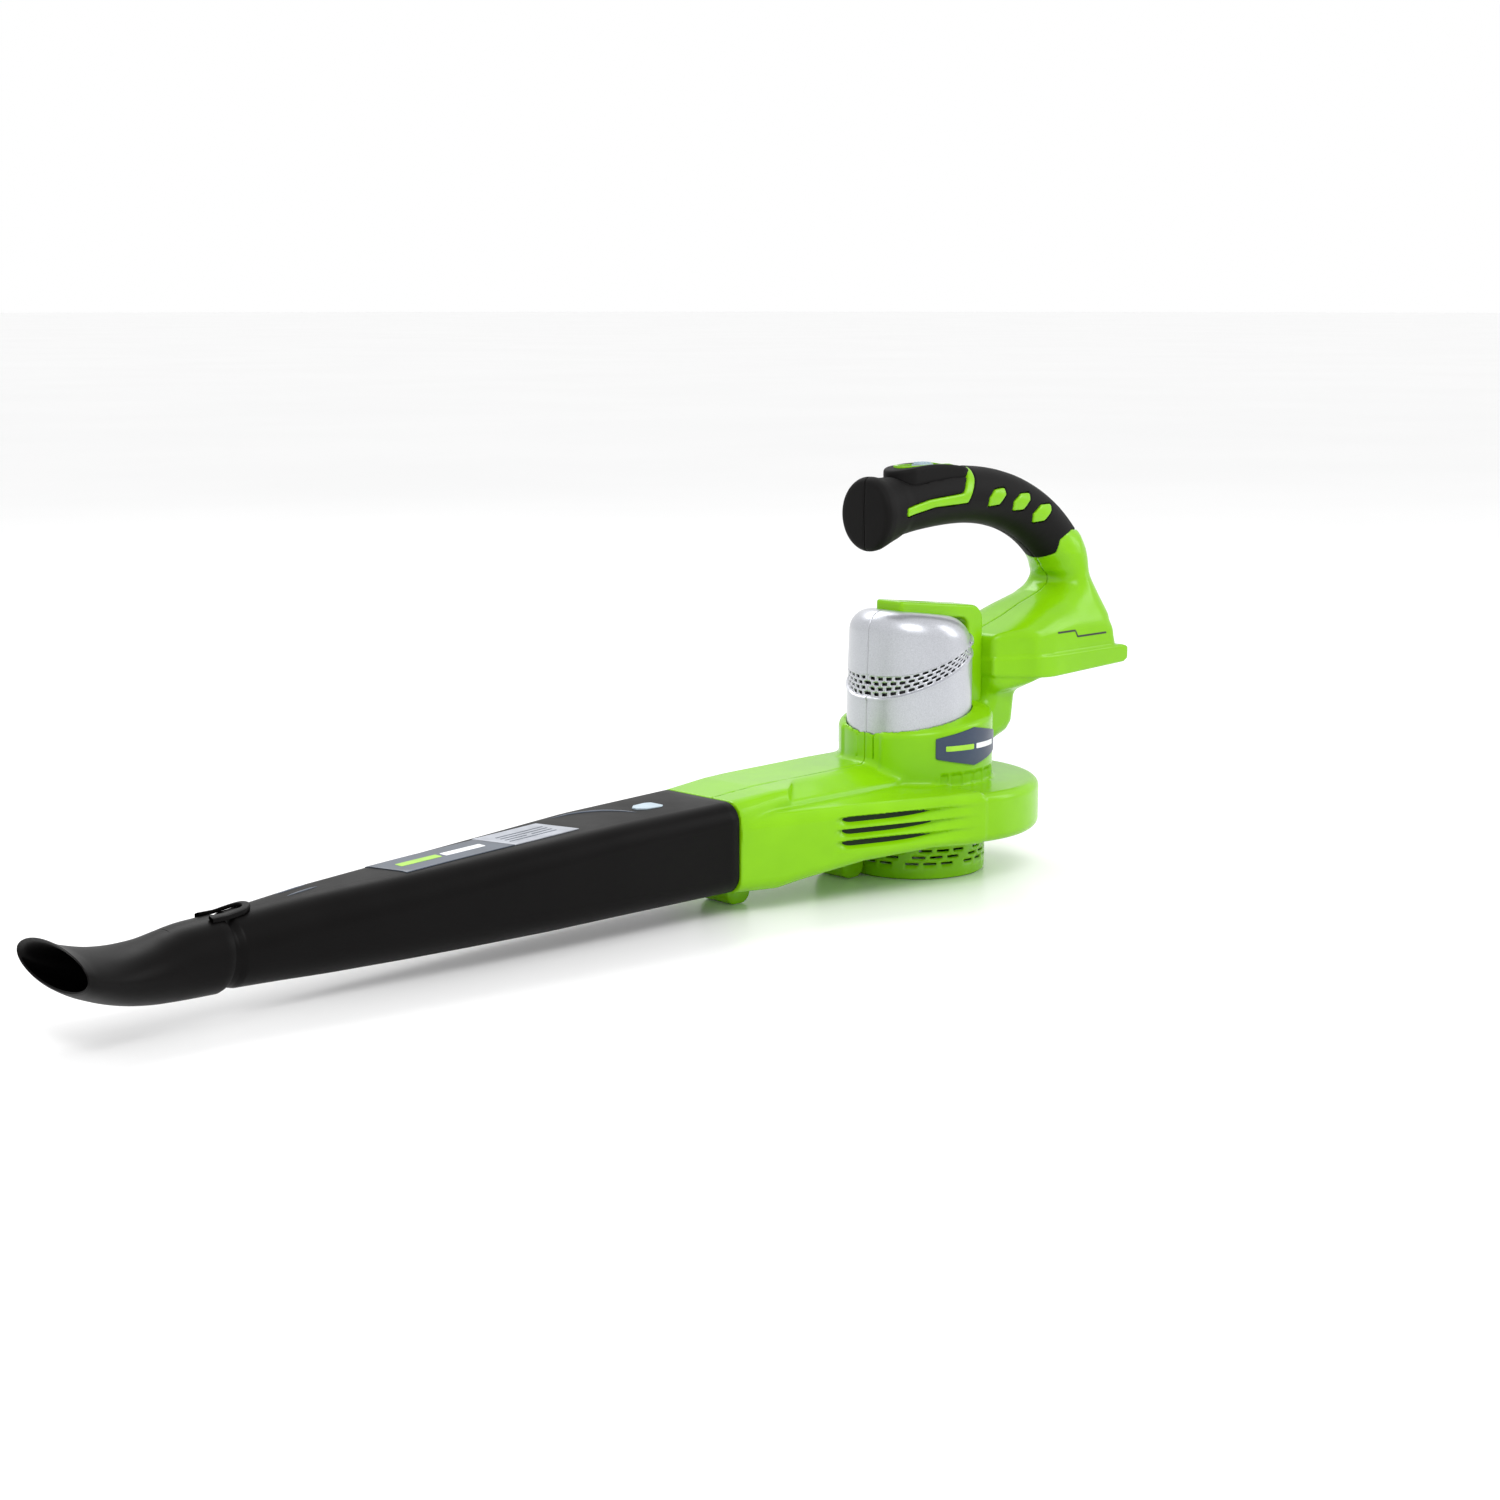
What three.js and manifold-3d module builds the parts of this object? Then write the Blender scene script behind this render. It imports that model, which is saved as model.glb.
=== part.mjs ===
// Cordless leaf blower: a scroll fan under an upright motor, a straight blow tube
// with a flared nozzle, and a hooked grip that rises from an empty battery dock.
//
// Frame, in millimetres: the origin is where the upright fan axis meets the ground.
// +Z is up, -X is the way the air leaves, +X is the battery end.
import * as THREE from 'three';
import { mergeVertices } from 'three/addons/utils/BufferGeometryUtils.js';
import Module from 'manifold-3d';

const wasm = await Module();
wasm.setup();

// ---------------------------------------------------------------- driving sizes
const CLEAR = 0.3; // gap between pieces that touch
const RUN = 0.4; // gap round a piece that slides
const SEAM = 0.15; // each clamshell half stops this far from the seam plane
const WALL = 2.6; // housing wall
const COVER_WALL = 2.2; // motor cover wall
const TUBE_WALL = 2.2; // blow tube wall

// Scroll and duct
const SCROLL_R = 86;
const SCROLL_BOTTOM = 31;
const SCROLL_TOP = 66;
const ROOF_Z = 77.5; // raised roof that runs from the duct to the collar
const SCROLL_ROUND = 6;
const DUCT_END_X = -197;
const DUCT_Y = 12; // the duct leaves to one side of the fan axis
const DUCT_W = 80;
const DUCT_H = 60;
const DUCT_Z = 45;
const DUCT_ROUND = 13;
const SPIGOT_LENGTH = 88;

// Blow tube and nozzle
const TUBE_TIP_X = -598;
const TUBE_TIP_R = 19.6;
const TUBE_TIP_Z = 35.8;
const NOZZLE_RING_X = TUBE_TIP_X + 32;
const NOZZLE_MOUTH_X = TUBE_TIP_X - 68;
const NOZZLE_MOUTH_W = 74;
const NOZZLE_MOUTH_H = 29.6;
const NOZZLE_MOUTH_Z = 47.4;
const NOZZLE_WALL = 2;

// Intake base and feet
const BASE_R = 49;
const BASE_SLOT_ROWS = 3;
const BASE_FACETS = 21; // one slot of each row sits in each facet
const INTAKE_R = 36;

// Collar, motor cover and strap
const COLLAR_R = 53.5;
const COLLAR_TOP = 106.4;
const COLLAR_SLOPE = 0.108; // rise of the collar's top edge for each mm along +X
const COVER_R = 43;
const COVER_X = -7; // the cover stands forward of the fan axis
const COVER_SKIRT_Z = 87;
const COVER_FACETS = 30;
const COVER_SLOT_ROWS = 3;
const COVER_TOP = 178.6;
const COVER_SLOPE = -0.143;
const STRAP_W = 24;
const STRAP_THICK = 9;
const STRAP_LEG = 14;
const STRAP_FRONT_X = -29;
const STRAP_BACK_X = 55.5;
const STRAP_SLOPE = -0.115;
const STRAP_SINK = 1.4; // the strap is let into the roof of the cover

// Dock and grip
const DOCK_W = 82;
const DOCK_BACK_X = 184;
const DOCK_CHANNEL_W = 64;
const DOCK_MOUTH_W = 54;
const DOCK_CEILING_Z = 150;
const NECK_W = 40;
const CORE_R = 16;
const GRIP_R = 20;
const POMMEL_X = -54;
const POMMEL_H = 51;
const POMMEL_W = 44;

// Motor and fan
const PLATE_Z = 66;
const PLATE_THICK = 3;
const MOTOR_R = 29;
const MOTOR_BOTTOM = PLATE_Z + PLATE_THICK + CLEAR;
const MOTOR_LENGTH = 74;
const SHAFT_R = 3;
const FAN_R = 62;
const FAN_BLADES = 10;

// Speed switch
const SWITCH_X = 8;
const SWITCH_LENGTH = 76;
const SWITCH_W = 28;
const SWITCH_TOP = 281;
const SLIDER_X = 4;
const SLIDER_LENGTH = 12;
const SLIDER_TRAVEL = 12;

// ---------------------------------------------------------------- materials
const finish = (color, roughness, metalness = 0) => new THREE.MeshStandardMaterial({ color, roughness, metalness });
const green = finish(0x86d61a, 0.3);
const black = finish(0x221f1e, 0.5);
const rubber = finish(0x2b2a2b, 0.8);
const silver = finish(0xb9bbbe, 0.35, 0.6);
const navy = finish(0x2a3a5a, 0.4);
const greyPrint = finish(0xb4b4c0, 0.5);
const darkPrint = finish(0x4d5563, 0.5);
const paleBlue = finish(0xb8cad6, 0.4);
const steel = finish(0x9a9c9f, 0.35, 1);
const copper = finish(0xb87333, 0.35, 1);
const ferrite = finish(0x3a3a3c, 0.7, 0.2);
const boardGreen = finish(0x1f5a34, 0.5);
const redWire = finish(0xb32020, 0.5);
const blackWire = finish(0x151515, 0.5);

// ---------------------------------------------------------------- solids
// A closed three.js geometry becomes a solid once its shared corners are merged.
function solid(geometry) {
  const plain = geometry.clone();
  plain.deleteAttribute('normal');
  plain.deleteAttribute('uv');
  const merged = mergeVertices(plain, 1e-4);
  const mesh = new wasm.Mesh({
    numProp: 3,
    vertProperties: new Float32Array(merged.attributes.position.array),
    triVerts: new Uint32Array(merged.index.array),
  });
  return new wasm.Manifold(mesh);
}

function geometryOf(shape) {
  const mesh = shape.getMesh();
  const geometry = new THREE.BufferGeometry();
  geometry.setAttribute('position', new THREE.BufferAttribute(new Float32Array(mesh.vertProperties), 3));
  geometry.setIndex(new THREE.BufferAttribute(new Uint32Array(mesh.triVerts), 1));
  geometry.computeVertexNormals();
  return geometry;
}

const join = (...shapes) => shapes.flat().reduce((all, next) => all.add(next));
const cut = (shape, ...tools) => tools.flat().reduce((left, tool) => left.subtract(tool), shape);

function box(low, high) {
  const size = high.map((value, axis) => value - low[axis]);
  const middle = high.map((value, axis) => (value + low[axis]) / 2);
  return solid(new THREE.BoxGeometry(...size).translate(...middle));
}

// A round bar between two points, or a cone when the two ends differ.
function rod(from, to, radius, sides = 20, endRadius = radius) {
  const start = new THREE.Vector3(...from);
  const end = new THREE.Vector3(...to);
  const along = end.clone().sub(start);
  const geometry = new THREE.CylinderGeometry(endRadius, radius, along.length(), sides);
  const turn = new THREE.Quaternion().setFromUnitVectors(new THREE.Vector3(0, 1, 0), along.clone().normalize());
  geometry.applyQuaternion(turn);
  return solid(geometry.translate(...start.add(end).multiplyScalar(0.5).toArray()));
}

// A turned body about the fan axis; profile points are [radius, z], upward on the outside.
function turned(profile, sides = 64) {
  const points = profile.map(([radius, z]) => new THREE.Vector2(radius, z));
  return solid(new THREE.LatheGeometry(points, sides).rotateX(Math.PI / 2));
}

function shapeOf(outline) {
  return new THREE.Shape(outline.map(([u, v]) => new THREE.Vector2(u, v)));
}

function flatExtrude(outline, depth) {
  return new THREE.ExtrudeGeometry(shapeOf(outline), { depth, bevelEnabled: false, curveSegments: 8 });
}

// Prisms of an outline drawn in [x, y], [x, z] or [y, z].
const prismZ = (outline, low, high) => solid(flatExtrude(outline, high - low).translate(0, 0, low));
const prismY = (outline, low, high) => solid(flatExtrude(outline, high - low).rotateX(Math.PI / 2).translate(0, high, 0));
const prismX = (outline, low, high) =>
  solid(flatExtrude(outline, high - low).rotateX(Math.PI / 2).rotateZ(Math.PI / 2).translate(low, 0, 0));

// One cross-section of a loft along X: centre, half sizes and corner radius.
function section(x, y, z, width, height, round = null, lean = 0) {
  const halfW = width / 2;
  const halfH = height / 2;
  const roundW = round === null ? halfW : Math.min(round, halfW);
  const roundH = round === null ? halfH : Math.min(round, halfH);
  return { x, y, z, halfW, halfH, roundW, roundH, lean };
}

function sectionPoint(part, angle) {
  const c = Math.cos(angle);
  const s = Math.sin(angle);
  const y = part.y + Math.sign(c) * (part.halfW - part.roundW) + c * part.roundW;
  const up = Math.sign(s) * (part.halfH - part.roundH) + s * part.roundH;
  return [part.x + part.lean * up, y, part.z + up];
}

// A loft: the rings of a cylinder are moved onto the sections, which run toward +X.
function loft(sections, sides = 20) {
  const geometry = new THREE.CylinderGeometry(1, 1, 1, sides, sections.length - 1);
  const place = geometry.attributes.position;
  const step = (2 * Math.PI) / sides;
  for (let i = 0; i < place.count; i += 1) {
    const part = sections[Math.round((place.getY(i) + 0.5) * (sections.length - 1))];
    const radius = Math.hypot(place.getX(i), place.getZ(i));
    const turn = Math.round(Math.atan2(place.getX(i), place.getZ(i)) / step);
    const point = radius < 0.5 ? [part.x, part.y, part.z] : sectionPoint(part, (turn + 0.5) * step);
    place.setXYZ(i, ...point);
  }
  return solid(geometry);
}

// The same sections, thinner all round by the given amount.
function thinner(sections, amount) {
  return sections.map((part) => ({
    ...part,
    halfW: part.halfW - amount,
    halfH: part.halfH - amount,
    roundW: Math.max(part.roundW - amount, 2),
    roundH: Math.max(part.roundH - amount, 2),
  }));
}

// A blend of two sections, for a place between them.
function between(first, second, x) {
  const t = (x - first.x) / (second.x - first.x);
  const mixed = {};
  for (const key of Object.keys(first)) mixed[key] = first[key] + (second[key] - first[key]) * t;
  return mixed;
}

function sectionAt(sections, x) {
  const after = Math.max(1, sections.findIndex((part) => part.x >= x));
  return between(sections[after - 1], sections[after], x);
}

// Moves each edge of an outline inward by the given amount; corners stay mitred.
function inset(outline, amount) {
  const area = outline.reduce((sum, [u, v], i) => {
    const [nextU, nextV] = outline[(i + 1) % outline.length];
    return sum + u * nextV - nextU * v;
  }, 0);
  const side = Math.sign(area) * amount;
  return outline.map(([u, v], i) => {
    const [beforeU, beforeV] = outline[(i + outline.length - 1) % outline.length];
    const [afterU, afterV] = outline[(i + 1) % outline.length];
    const into = new THREE.Vector2(u - beforeU, v - beforeV).normalize();
    const out = new THREE.Vector2(afterU - u, afterV - v).normalize();
    const normal = new THREE.Vector2(-into.y - out.y, into.x + out.x).normalize();
    const stretch = side / (normal.x * -into.y + normal.y * into.x);
    return [u + normal.x * stretch, v + normal.y * stretch];
  });
}

// Everything on the far side of a plane through a point, the way the normal points.
function beyond(point, normal) {
  const size = 900;
  const geometry = new THREE.BoxGeometry(size, size, size).translate(0, size / 2, 0);
  const turn = new THREE.Quaternion().setFromUnitVectors(new THREE.Vector3(0, 1, 0), new THREE.Vector3(...normal).normalize());
  geometry.applyQuaternion(turn);
  return solid(geometry.translate(...point));
}

const leftHalf = box([-900, SEAM, -50], [400, 300, 400]); // the +Y half
const rightHalf = box([-900, -300, -50], [400, -SEAM, 400]);

// A bar of round section along a smooth path in the seam plane.
function sweep(path, radius, sides = 12, steps = 12) {
  const circle = new THREE.Shape();
  for (let i = 0; i < sides; i += 1) {
    const angle = (2 * Math.PI * (i + 0.5)) / sides;
    const point = [radius * Math.cos(angle), radius * Math.sin(angle)];
    if (i === 0) circle.moveTo(...point);
    else circle.lineTo(...point);
  }
  const extrudePath = new THREE.CatmullRomCurve3(path.map((point) => new THREE.Vector3(...point)));
  return solid(new THREE.ExtrudeGeometry(circle, { steps, bevelEnabled: false, extrudePath }));
}

const group = new THREE.Group();

function addPart(name, shape, material) {
  const mesh = new THREE.Mesh(geometryOf(shape), material);
  mesh.name = name;
  group.add(mesh);
}

// ---------------------------------------------------------------- air path
// Where a straight flank that starts at the duct's side touches the scroll circle.
function flankTouch(startY, side) {
  const reach = Math.hypot(DUCT_END_X, startY);
  const base = Math.atan2(startY, DUCT_END_X);
  const open = Math.acos(SCROLL_R / reach);
  const angle = base - side * open;
  return [SCROLL_R * Math.cos(angle), SCROLL_R * Math.sin(angle)];
}

const flankFar = flankTouch(DUCT_Y + DUCT_W / 2, 1);
const flankNear = flankTouch(DUCT_Y - DUCT_W / 2, -1);
const flankStartX = Math.min(flankFar[0], flankNear[0]);

// The throat widens from the duct to the scroll while its floor climbs and its roof drops.
function throatSection(x, bottom, top, round) {
  const slopeFar = (flankFar[1] - (DUCT_Y + DUCT_W / 2)) / (flankFar[0] - DUCT_END_X);
  const slopeNear = (flankNear[1] - (DUCT_Y - DUCT_W / 2)) / (flankNear[0] - DUCT_END_X);
  const far = DUCT_Y + DUCT_W / 2 + slopeFar * (x - DUCT_END_X);
  const near = DUCT_Y - DUCT_W / 2 + slopeNear * (x - DUCT_END_X);
  return section(x, (far + near) / 2, (top + bottom) / 2, far - near, top - bottom, round);
}

const ductBottom = DUCT_Z - DUCT_H / 2;
const ductTop = DUCT_Z + DUCT_H / 2;
const throatSections = [
  throatSection(DUCT_END_X, ductBottom, ductTop, DUCT_ROUND),
  throatSection(DUCT_END_X + 27, ductBottom, ductTop, DUCT_ROUND),
  throatSection(DUCT_END_X + 47, ductBottom + 4, SCROLL_TOP + 3, 10),
  throatSection(DUCT_END_X + 90, SCROLL_BOTTOM - 4, SCROLL_TOP, 7),
  throatSection(-BASE_R - 8, SCROLL_BOTTOM, SCROLL_TOP, SCROLL_ROUND),
  throatSection(flankStartX, SCROLL_BOTTOM, SCROLL_TOP, SCROLL_ROUND),
];

const tubeSections = [
  section(TUBE_TIP_X, DUCT_Y, TUBE_TIP_Z, 2 * TUBE_TIP_R, 2 * TUBE_TIP_R),
  section(NOZZLE_RING_X + 4, DUCT_Y, TUBE_TIP_Z, 2 * TUBE_TIP_R, 2 * TUBE_TIP_R),
  section(NOZZLE_RING_X + 8, DUCT_Y, TUBE_TIP_Z + 1, 2 * TUBE_TIP_R + 4.3, 2 * TUBE_TIP_R + 4.3),
  section(TUBE_TIP_X + 98, DUCT_Y, 38.4, 53, 49.4, 21),
  section(TUBE_TIP_X + 198, DUCT_Y, 40.2, 65, 54.4, 18),
  section(DUCT_END_X - 93, DUCT_Y, DUCT_Z - 1.3, DUCT_W - 5, DUCT_H - 2, DUCT_ROUND + 1),
  section(DUCT_END_X - CLEAR, DUCT_Y, DUCT_Z, DUCT_W - 0.6, DUCT_H, DUCT_ROUND),
];

// The spigot follows the inside of the tube, so the tube only comes off toward -X.
const spigotEndX = DUCT_END_X - SPIGOT_LENGTH;
const spigotSections = thinner([
  sectionAt(tubeSections, spigotEndX),
  sectionAt(tubeSections, spigotEndX + SPIGOT_LENGTH / 2),
  { ...tubeSections[tubeSections.length - 1], x: DUCT_END_X + 4 },
], TUBE_WALL + RUN);

const scrollOuter = turned([
  [0, SCROLL_BOTTOM],
  [SCROLL_R - SCROLL_ROUND, SCROLL_BOTTOM],
  [SCROLL_R, SCROLL_BOTTOM + SCROLL_ROUND],
  [SCROLL_R, SCROLL_TOP - SCROLL_ROUND],
  [SCROLL_R - SCROLL_ROUND, SCROLL_TOP],
  [COLLAR_R + 14, SCROLL_TOP + 0.5],
  [COLLAR_R + 3, SCROLL_TOP + 6],
  [0, SCROLL_TOP + 6],
], 36);
const scrollInner = turned([
  [0, SCROLL_BOTTOM + WALL],
  [SCROLL_R - WALL - 3, SCROLL_BOTTOM + WALL],
  [SCROLL_R - WALL, SCROLL_BOTTOM + WALL + 3],
  [SCROLL_R - WALL, SCROLL_TOP - WALL - 3],
  [SCROLL_R - WALL - 3, SCROLL_TOP - WALL],
  [0, SCROLL_TOP - WALL],
], 28);

// The collar's top edge and the cover's roof are both tilted planes.
const above = (height, slope) => beyond([0, 0, height], [-slope, 0, 1]);
const collarOuter = cut(rod([0, 0, 60], [0, 0, 130], COLLAR_R, 40), above(COLLAR_TOP, COLLAR_SLOPE));
const collarInner = join(
  rod([0, 0, SCROLL_TOP - WALL - 4], [0, 0, COVER_SKIRT_Z - 3], COLLAR_R - WALL, 28),
  rod([COVER_X, 0, COVER_SKIRT_Z - 4], [COVER_X, 0, 140], COVER_R + CLEAR, 30),
);

// The roof between duct and collar: a flat top with shoulders that fall to both flanks.
const roofOutline = [
  [-42, SCROLL_TOP - 5],
  [70, SCROLL_TOP - 5],
  [36, ROOF_Z],
  [-8, ROOF_Z],
];
const roofOuter = prismX(roofOutline, DUCT_END_X + 34, -COLLAR_R + 12);
const roofInner = prismX(inset(roofOutline, WALL), DUCT_END_X + 34 + WALL, -COLLAR_R - WALL - 4);

// ---------------------------------------------------------------- dock, neck and grip core
const gripPath = [
  [-46, 0, 249],
  [-24, 0, 253.5],
  [16, 0, 257.5],
  [47, 0, 257.7],
  [78.6, 0, 253.3],
  [96.3, 0, 248.2],
  [115.5, 0, 239.6],
  [132.7, 0, 228.4],
  [147.5, 0, 214.5],
  [156, 0, 200],
];
const gripEnd = [139, 0, 218]; // where the soft grip meets the hard root
const gripEndNormal = [0.66, 0, -0.75];

// Side, front and plan outlines of the rear body; the body is what all three share.
const rearSide = [
  [48, 82],
  [66, 83],
  [79, 87.5],
  [85, 94],
  [87.5, 113],
  [92, 121],
  [101, 126],
  [DOCK_BACK_X - 3, 130],
  [DOCK_BACK_X + 2, 132],
  [DOCK_BACK_X + 2, 142],
  [DOCK_BACK_X - 7, 144],
  [DOCK_BACK_X - 6.5, 166],
  [DOCK_BACK_X - 11, 182],
  [DOCK_BACK_X - 15.5, 200],
  [DOCK_BACK_X - 18, 214],
  [DOCK_BACK_X - 24, 226],
  [132, 208],
  [136.5, 199],
  [136, 189.5],
  [127, 183],
  [110, 176.5],
  [90, 171],
  [STRAP_BACK_X + CLEAR, 163],
  [STRAP_BACK_X + CLEAR, 112],
  [48, 108],
];
const rearFront = [
  [-NECK_W / 2, 78],
  [NECK_W / 2, 78],
  [NECK_W / 2, 117],
  [DOCK_W / 2, 127],
  [DOCK_W / 2, 148],
  [33, 170],
  [25, 192],
  [GRIP_R + 0.5, 214],
  [GRIP_R + 0.5, 240],
  [-GRIP_R - 0.5, 240],
  [-GRIP_R - 0.5, 214],
  [-25, 192],
  [-33, 170],
  [-DOCK_W / 2, 148],
  [-DOCK_W / 2, 127],
  [-NECK_W / 2, 117],
];
const rearPlan = [
  [44, -22],
  [56, -23],
  [84, -DOCK_W / 2 + 3],
  [104, -DOCK_W / 2],
  [200, -DOCK_W / 2],
  [200, DOCK_W / 2],
  [104, DOCK_W / 2],
  [84, DOCK_W / 2 - 3],
  [56, 23],
  [44, 22],
];

function rearBody(amount) {
  const side = prismY(inset(rearSide, amount), -60, 60);
  const front = prismX(inset(rearFront, amount), 0, 220);
  const plan = prismZ(inset(rearPlan, amount), 60, 260);
  return side.intersect(front).intersect(plan);
}

const dockCeiling = DOCK_CEILING_Z + WALL;
const dockFrontX = 84;
const dockChannel = join(
  box([dockFrontX, -DOCK_CHANNEL_W / 2, 136], [220, DOCK_CHANNEL_W / 2, DOCK_CEILING_Z]),
  box([dockFrontX, -DOCK_MOUTH_W / 2, 100], [220, DOCK_MOUTH_W / 2, 140]),
);
const rearCavity = cut(
  rearBody(WALL),
  box([dockFrontX - WALL, -60, 60], [220, 60, dockCeiling]),
  beyond([DOCK_BACK_X - 36, 0, 204], [0.66, 0, 0.75]),
);

const gripRear = beyond(gripEnd, gripEndNormal);
const coreOuter = sweep(gripPath, CORE_R);
const coreInner = cut(sweep(gripPath, CORE_R - WALL, 8), beyond([-43, 0, 249], [-1, 0, 0]));
const rootOuter = sweep(gripPath, GRIP_R + 0.2).intersect(gripRear);

// Raised pads and an angled bar of hard plastic that show through the soft grip.
const padOutlines = [
  [[52.6, 249.7], [63.6, 250.5], [70.2, 257.2], [69.3, 262], [58.8, 261.2], [52.9, 256]],
  [[79.2, 245.3], [89.6, 245.5], [97, 252.1], [97.7, 256.9], [87.5, 256.9], [79, 251.8]],
  [[102.4, 235.4], [113.1, 236.3], [121.3, 242.9], [122.7, 247.7], [109.7, 247.8], [101, 242]],
];
const stripeOutline = [
  [-33.5, 248],
  [-4, 253],
  [29.5, 254],
  [34, 261],
  [40, 270.5],
  [44.8, 280],
  [38, 280],
  [36, 273],
  [30.5, 267],
  [25.5, 260.5],
  [-8.5, 258],
  [-32.8, 253.4],
];

function gripPads(grow) {
  const bars = [...padOutlines, stripeOutline].map((outline) => prismY(inset(outline, -grow), -40, 40));
  const radius = grow > 0 ? GRIP_R + 6 : GRIP_R + 0.2;
  const pads = cut(join(bars).intersect(sweep(gripPath, radius)), box([-900, -9, 0], [900, 9, 400]));
  return grow > 0 ? pads : pads.subtract(switchRoom);
}

// ---------------------------------------------------------------- speed switch
function stadium(middleX, length, width, arcSteps = 6) {
  const radius = width / 2;
  const reach = length / 2 - radius;
  const points = [];
  for (const side of [1, -1]) {
    for (let i = 0; i <= arcSteps; i += 1) {
      const angle = -Math.PI / 2 + (Math.PI * i) / arcSteps;
      points.push([middleX + side * (reach + radius * Math.cos(angle)), side * radius * Math.sin(angle)]);
    }
  }
  return points;
}

const switchRoom = prismZ(stadium(SWITCH_X, SWITCH_LENGTH + 2 * CLEAR, SWITCH_W + 2 * CLEAR), 258, 300);
const framePlace = { x: 6.5, length: 56, width: 18 };
const frameFloor = SWITCH_TOP - 3;
const sliderSlotLow = SLIDER_X - SLIDER_TRAVEL - 3 - RUN;
const sliderSlotHigh = SLIDER_X + 3 + RUN;
const sliderSlot = box([sliderSlotLow, -2.5 - RUN, 262], [sliderSlotHigh, 2.5 + RUN, SWITCH_TOP + 5]);

function buildSwitch() {
  const blank = prismZ(stadium(SWITCH_X, SWITCH_LENGTH, SWITCH_W), 262, SWITCH_TOP);
  const crown = cut(blank, sweep(gripPath, CORE_R + CLEAR), beyond([SWITCH_X + 20, 0, SWITCH_TOP - 1.5], [0.22, 0, 1]));
  const recess = prismZ(stadium(framePlace.x, framePlace.length + 2 * CLEAR, framePlace.width + 2 * CLEAR), frameFloor, 300);
  addPart('switch_housing', cut(crown, recess, sliderSlot), rubber);

  const ring = prismZ(stadium(framePlace.x, framePlace.length, framePlace.width), frameFloor + CLEAR, SWITCH_TOP - 0.4);
  const window = prismZ(stadium(framePlace.x - 3.5, framePlace.length - 12, 13), 260, 300);
  const trim = cut(ring, window, beyond([SWITCH_X + 20, 0, SWITCH_TOP - 1.8], [0.22, 0, 1]));
  addPart('switch_frame', trim, green);

  const padHalf = SLIDER_LENGTH / 2;
  const pad = box([SLIDER_X - padHalf, -4.5, frameFloor + RUN], [SLIDER_X + padHalf, 4.5, SWITCH_TOP]);
  const ridges = [-3.5, 0, 3.5].map((offset) =>
    box([SLIDER_X + offset - 0.7, -4, SWITCH_TOP - 0.5], [SLIDER_X + offset + 0.7, 4, SWITCH_TOP + 1.2]));
  const stem = box([SLIDER_X - 3, -2.5, 263], [SLIDER_X + 3, 2.5, SWITCH_TOP - 1]);
  addPart('switch_slider', join(pad, ridges, stem), paleBlue);

  const body = box([SLIDER_X - 22, -8, 249], [SLIDER_X + 12, 8, 262.5]);
  addPart('switch_body', body, black);
}

// ---------------------------------------------------------------- screws
function screwAlong(name, seat, direction, length, shankR = 1.7, headR = 3.3) {
  const tip = seat.map((value, axis) => value + direction[axis] * length);
  const headTop = seat.map((value, axis) => value - direction[axis] * 2.2);
  const socket = seat.map((value, axis) => value - direction[axis] * 0.9);
  const shank = rod(seat, tip, shankR, 6);
  const head = rod(seat, headTop, headR, 8);
  const drive = rod(socket, headTop.map((value, axis) => value - direction[axis]), 1.3, 6);
  addPart(name, cut(join(shank, head), drive), steel);
}

function screwRoom(seat, direction, length, shankR = 1.7, headR = 3.3) {
  const tip = seat.map((value, axis) => value + direction[axis] * (length + 0.5));
  const outside = seat.map((value, axis) => value - direction[axis] * 30);
  const floor = seat.map((value, axis) => value + direction[axis] * CLEAR);
  return join(rod(seat, tip, shankR + CLEAR, 6), rod(floor, outside, headR + CLEAR, 8));
}

// Clamshell screws go in from the far side, so the near side shows none.
const shellScrews = [
  { x: -32, z: 251.5, seatY: 10, boss: 5 },
  { x: 43, z: 256, seatY: 10, boss: 5 },
  { x: 152, z: 205, seatY: 12, boss: 5.5 },
  { x: 110, z: 164, seatY: 24, boss: 5.5 },
  { x: 165, z: 165, seatY: 24, boss: 5.5 },
  { x: 72, z: 126, seatY: 14, boss: 5.5 },
];
const screwDirection = [0, -1, 0];
const screwLength = (screw) => screw.seatY + 9;

// Base screws go straight up into the floor of the scroll.
const baseScrewR = 44;
const baseScrewAngles = [45, 135, 225, 315].map((angle) => THREE.MathUtils.degToRad(angle));
const plateScrewR = 47.6;
const plateScrewAngles = [30, 150, 270].map((angle) => THREE.MathUtils.degToRad(angle));

// ---------------------------------------------------------------- housing
function flankGrooves() {
  const slope = Math.atan2(flankNear[1] - (DUCT_Y - DUCT_W / 2), flankNear[0] - DUCT_END_X);
  const middle = [(flankNear[0] + DUCT_END_X) / 2 + 24, (flankNear[1] + DUCT_Y - DUCT_W / 2) / 2 + 24 * Math.tan(slope)];
  const grooves = [0, 1, 2].map((row) => {
    const z = 37 + row * 7.7;
    const geometry = new THREE.BoxGeometry(96, 2.8, 4.8);
    return solid(geometry.rotateZ(slope).translate(middle[0], middle[1], z));
  });
  return join(grooves);
}

const windowAngles = [-2, -1, 0, 1, 2].map((step) => step * 12.5);

function collarWindows() {
  const cutters = [];
  for (const middle of [90, 270]) {
    for (const offset of windowAngles) {
      const angle = THREE.MathUtils.degToRad(middle + offset);
      const geometry = new THREE.BoxGeometry(14, 9, 8).translate(COLLAR_R - 1, 0, 76);
      cutters.push(solid(geometry.rotateZ(angle)));
    }
  }
  return join(cutters);
}

function foot(x, ceiling) {
  const half = 10.5;
  const outline = [
    [x - half, 0],
    [x + half - 5, 0],
    [x + half - 1.4, 1.6],
    [x + half, 5],
    [x + half, ceiling],
    [x - half, ceiling],
  ];
  return prismY(outline, SEAM + 0.05, 28);
}

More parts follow.
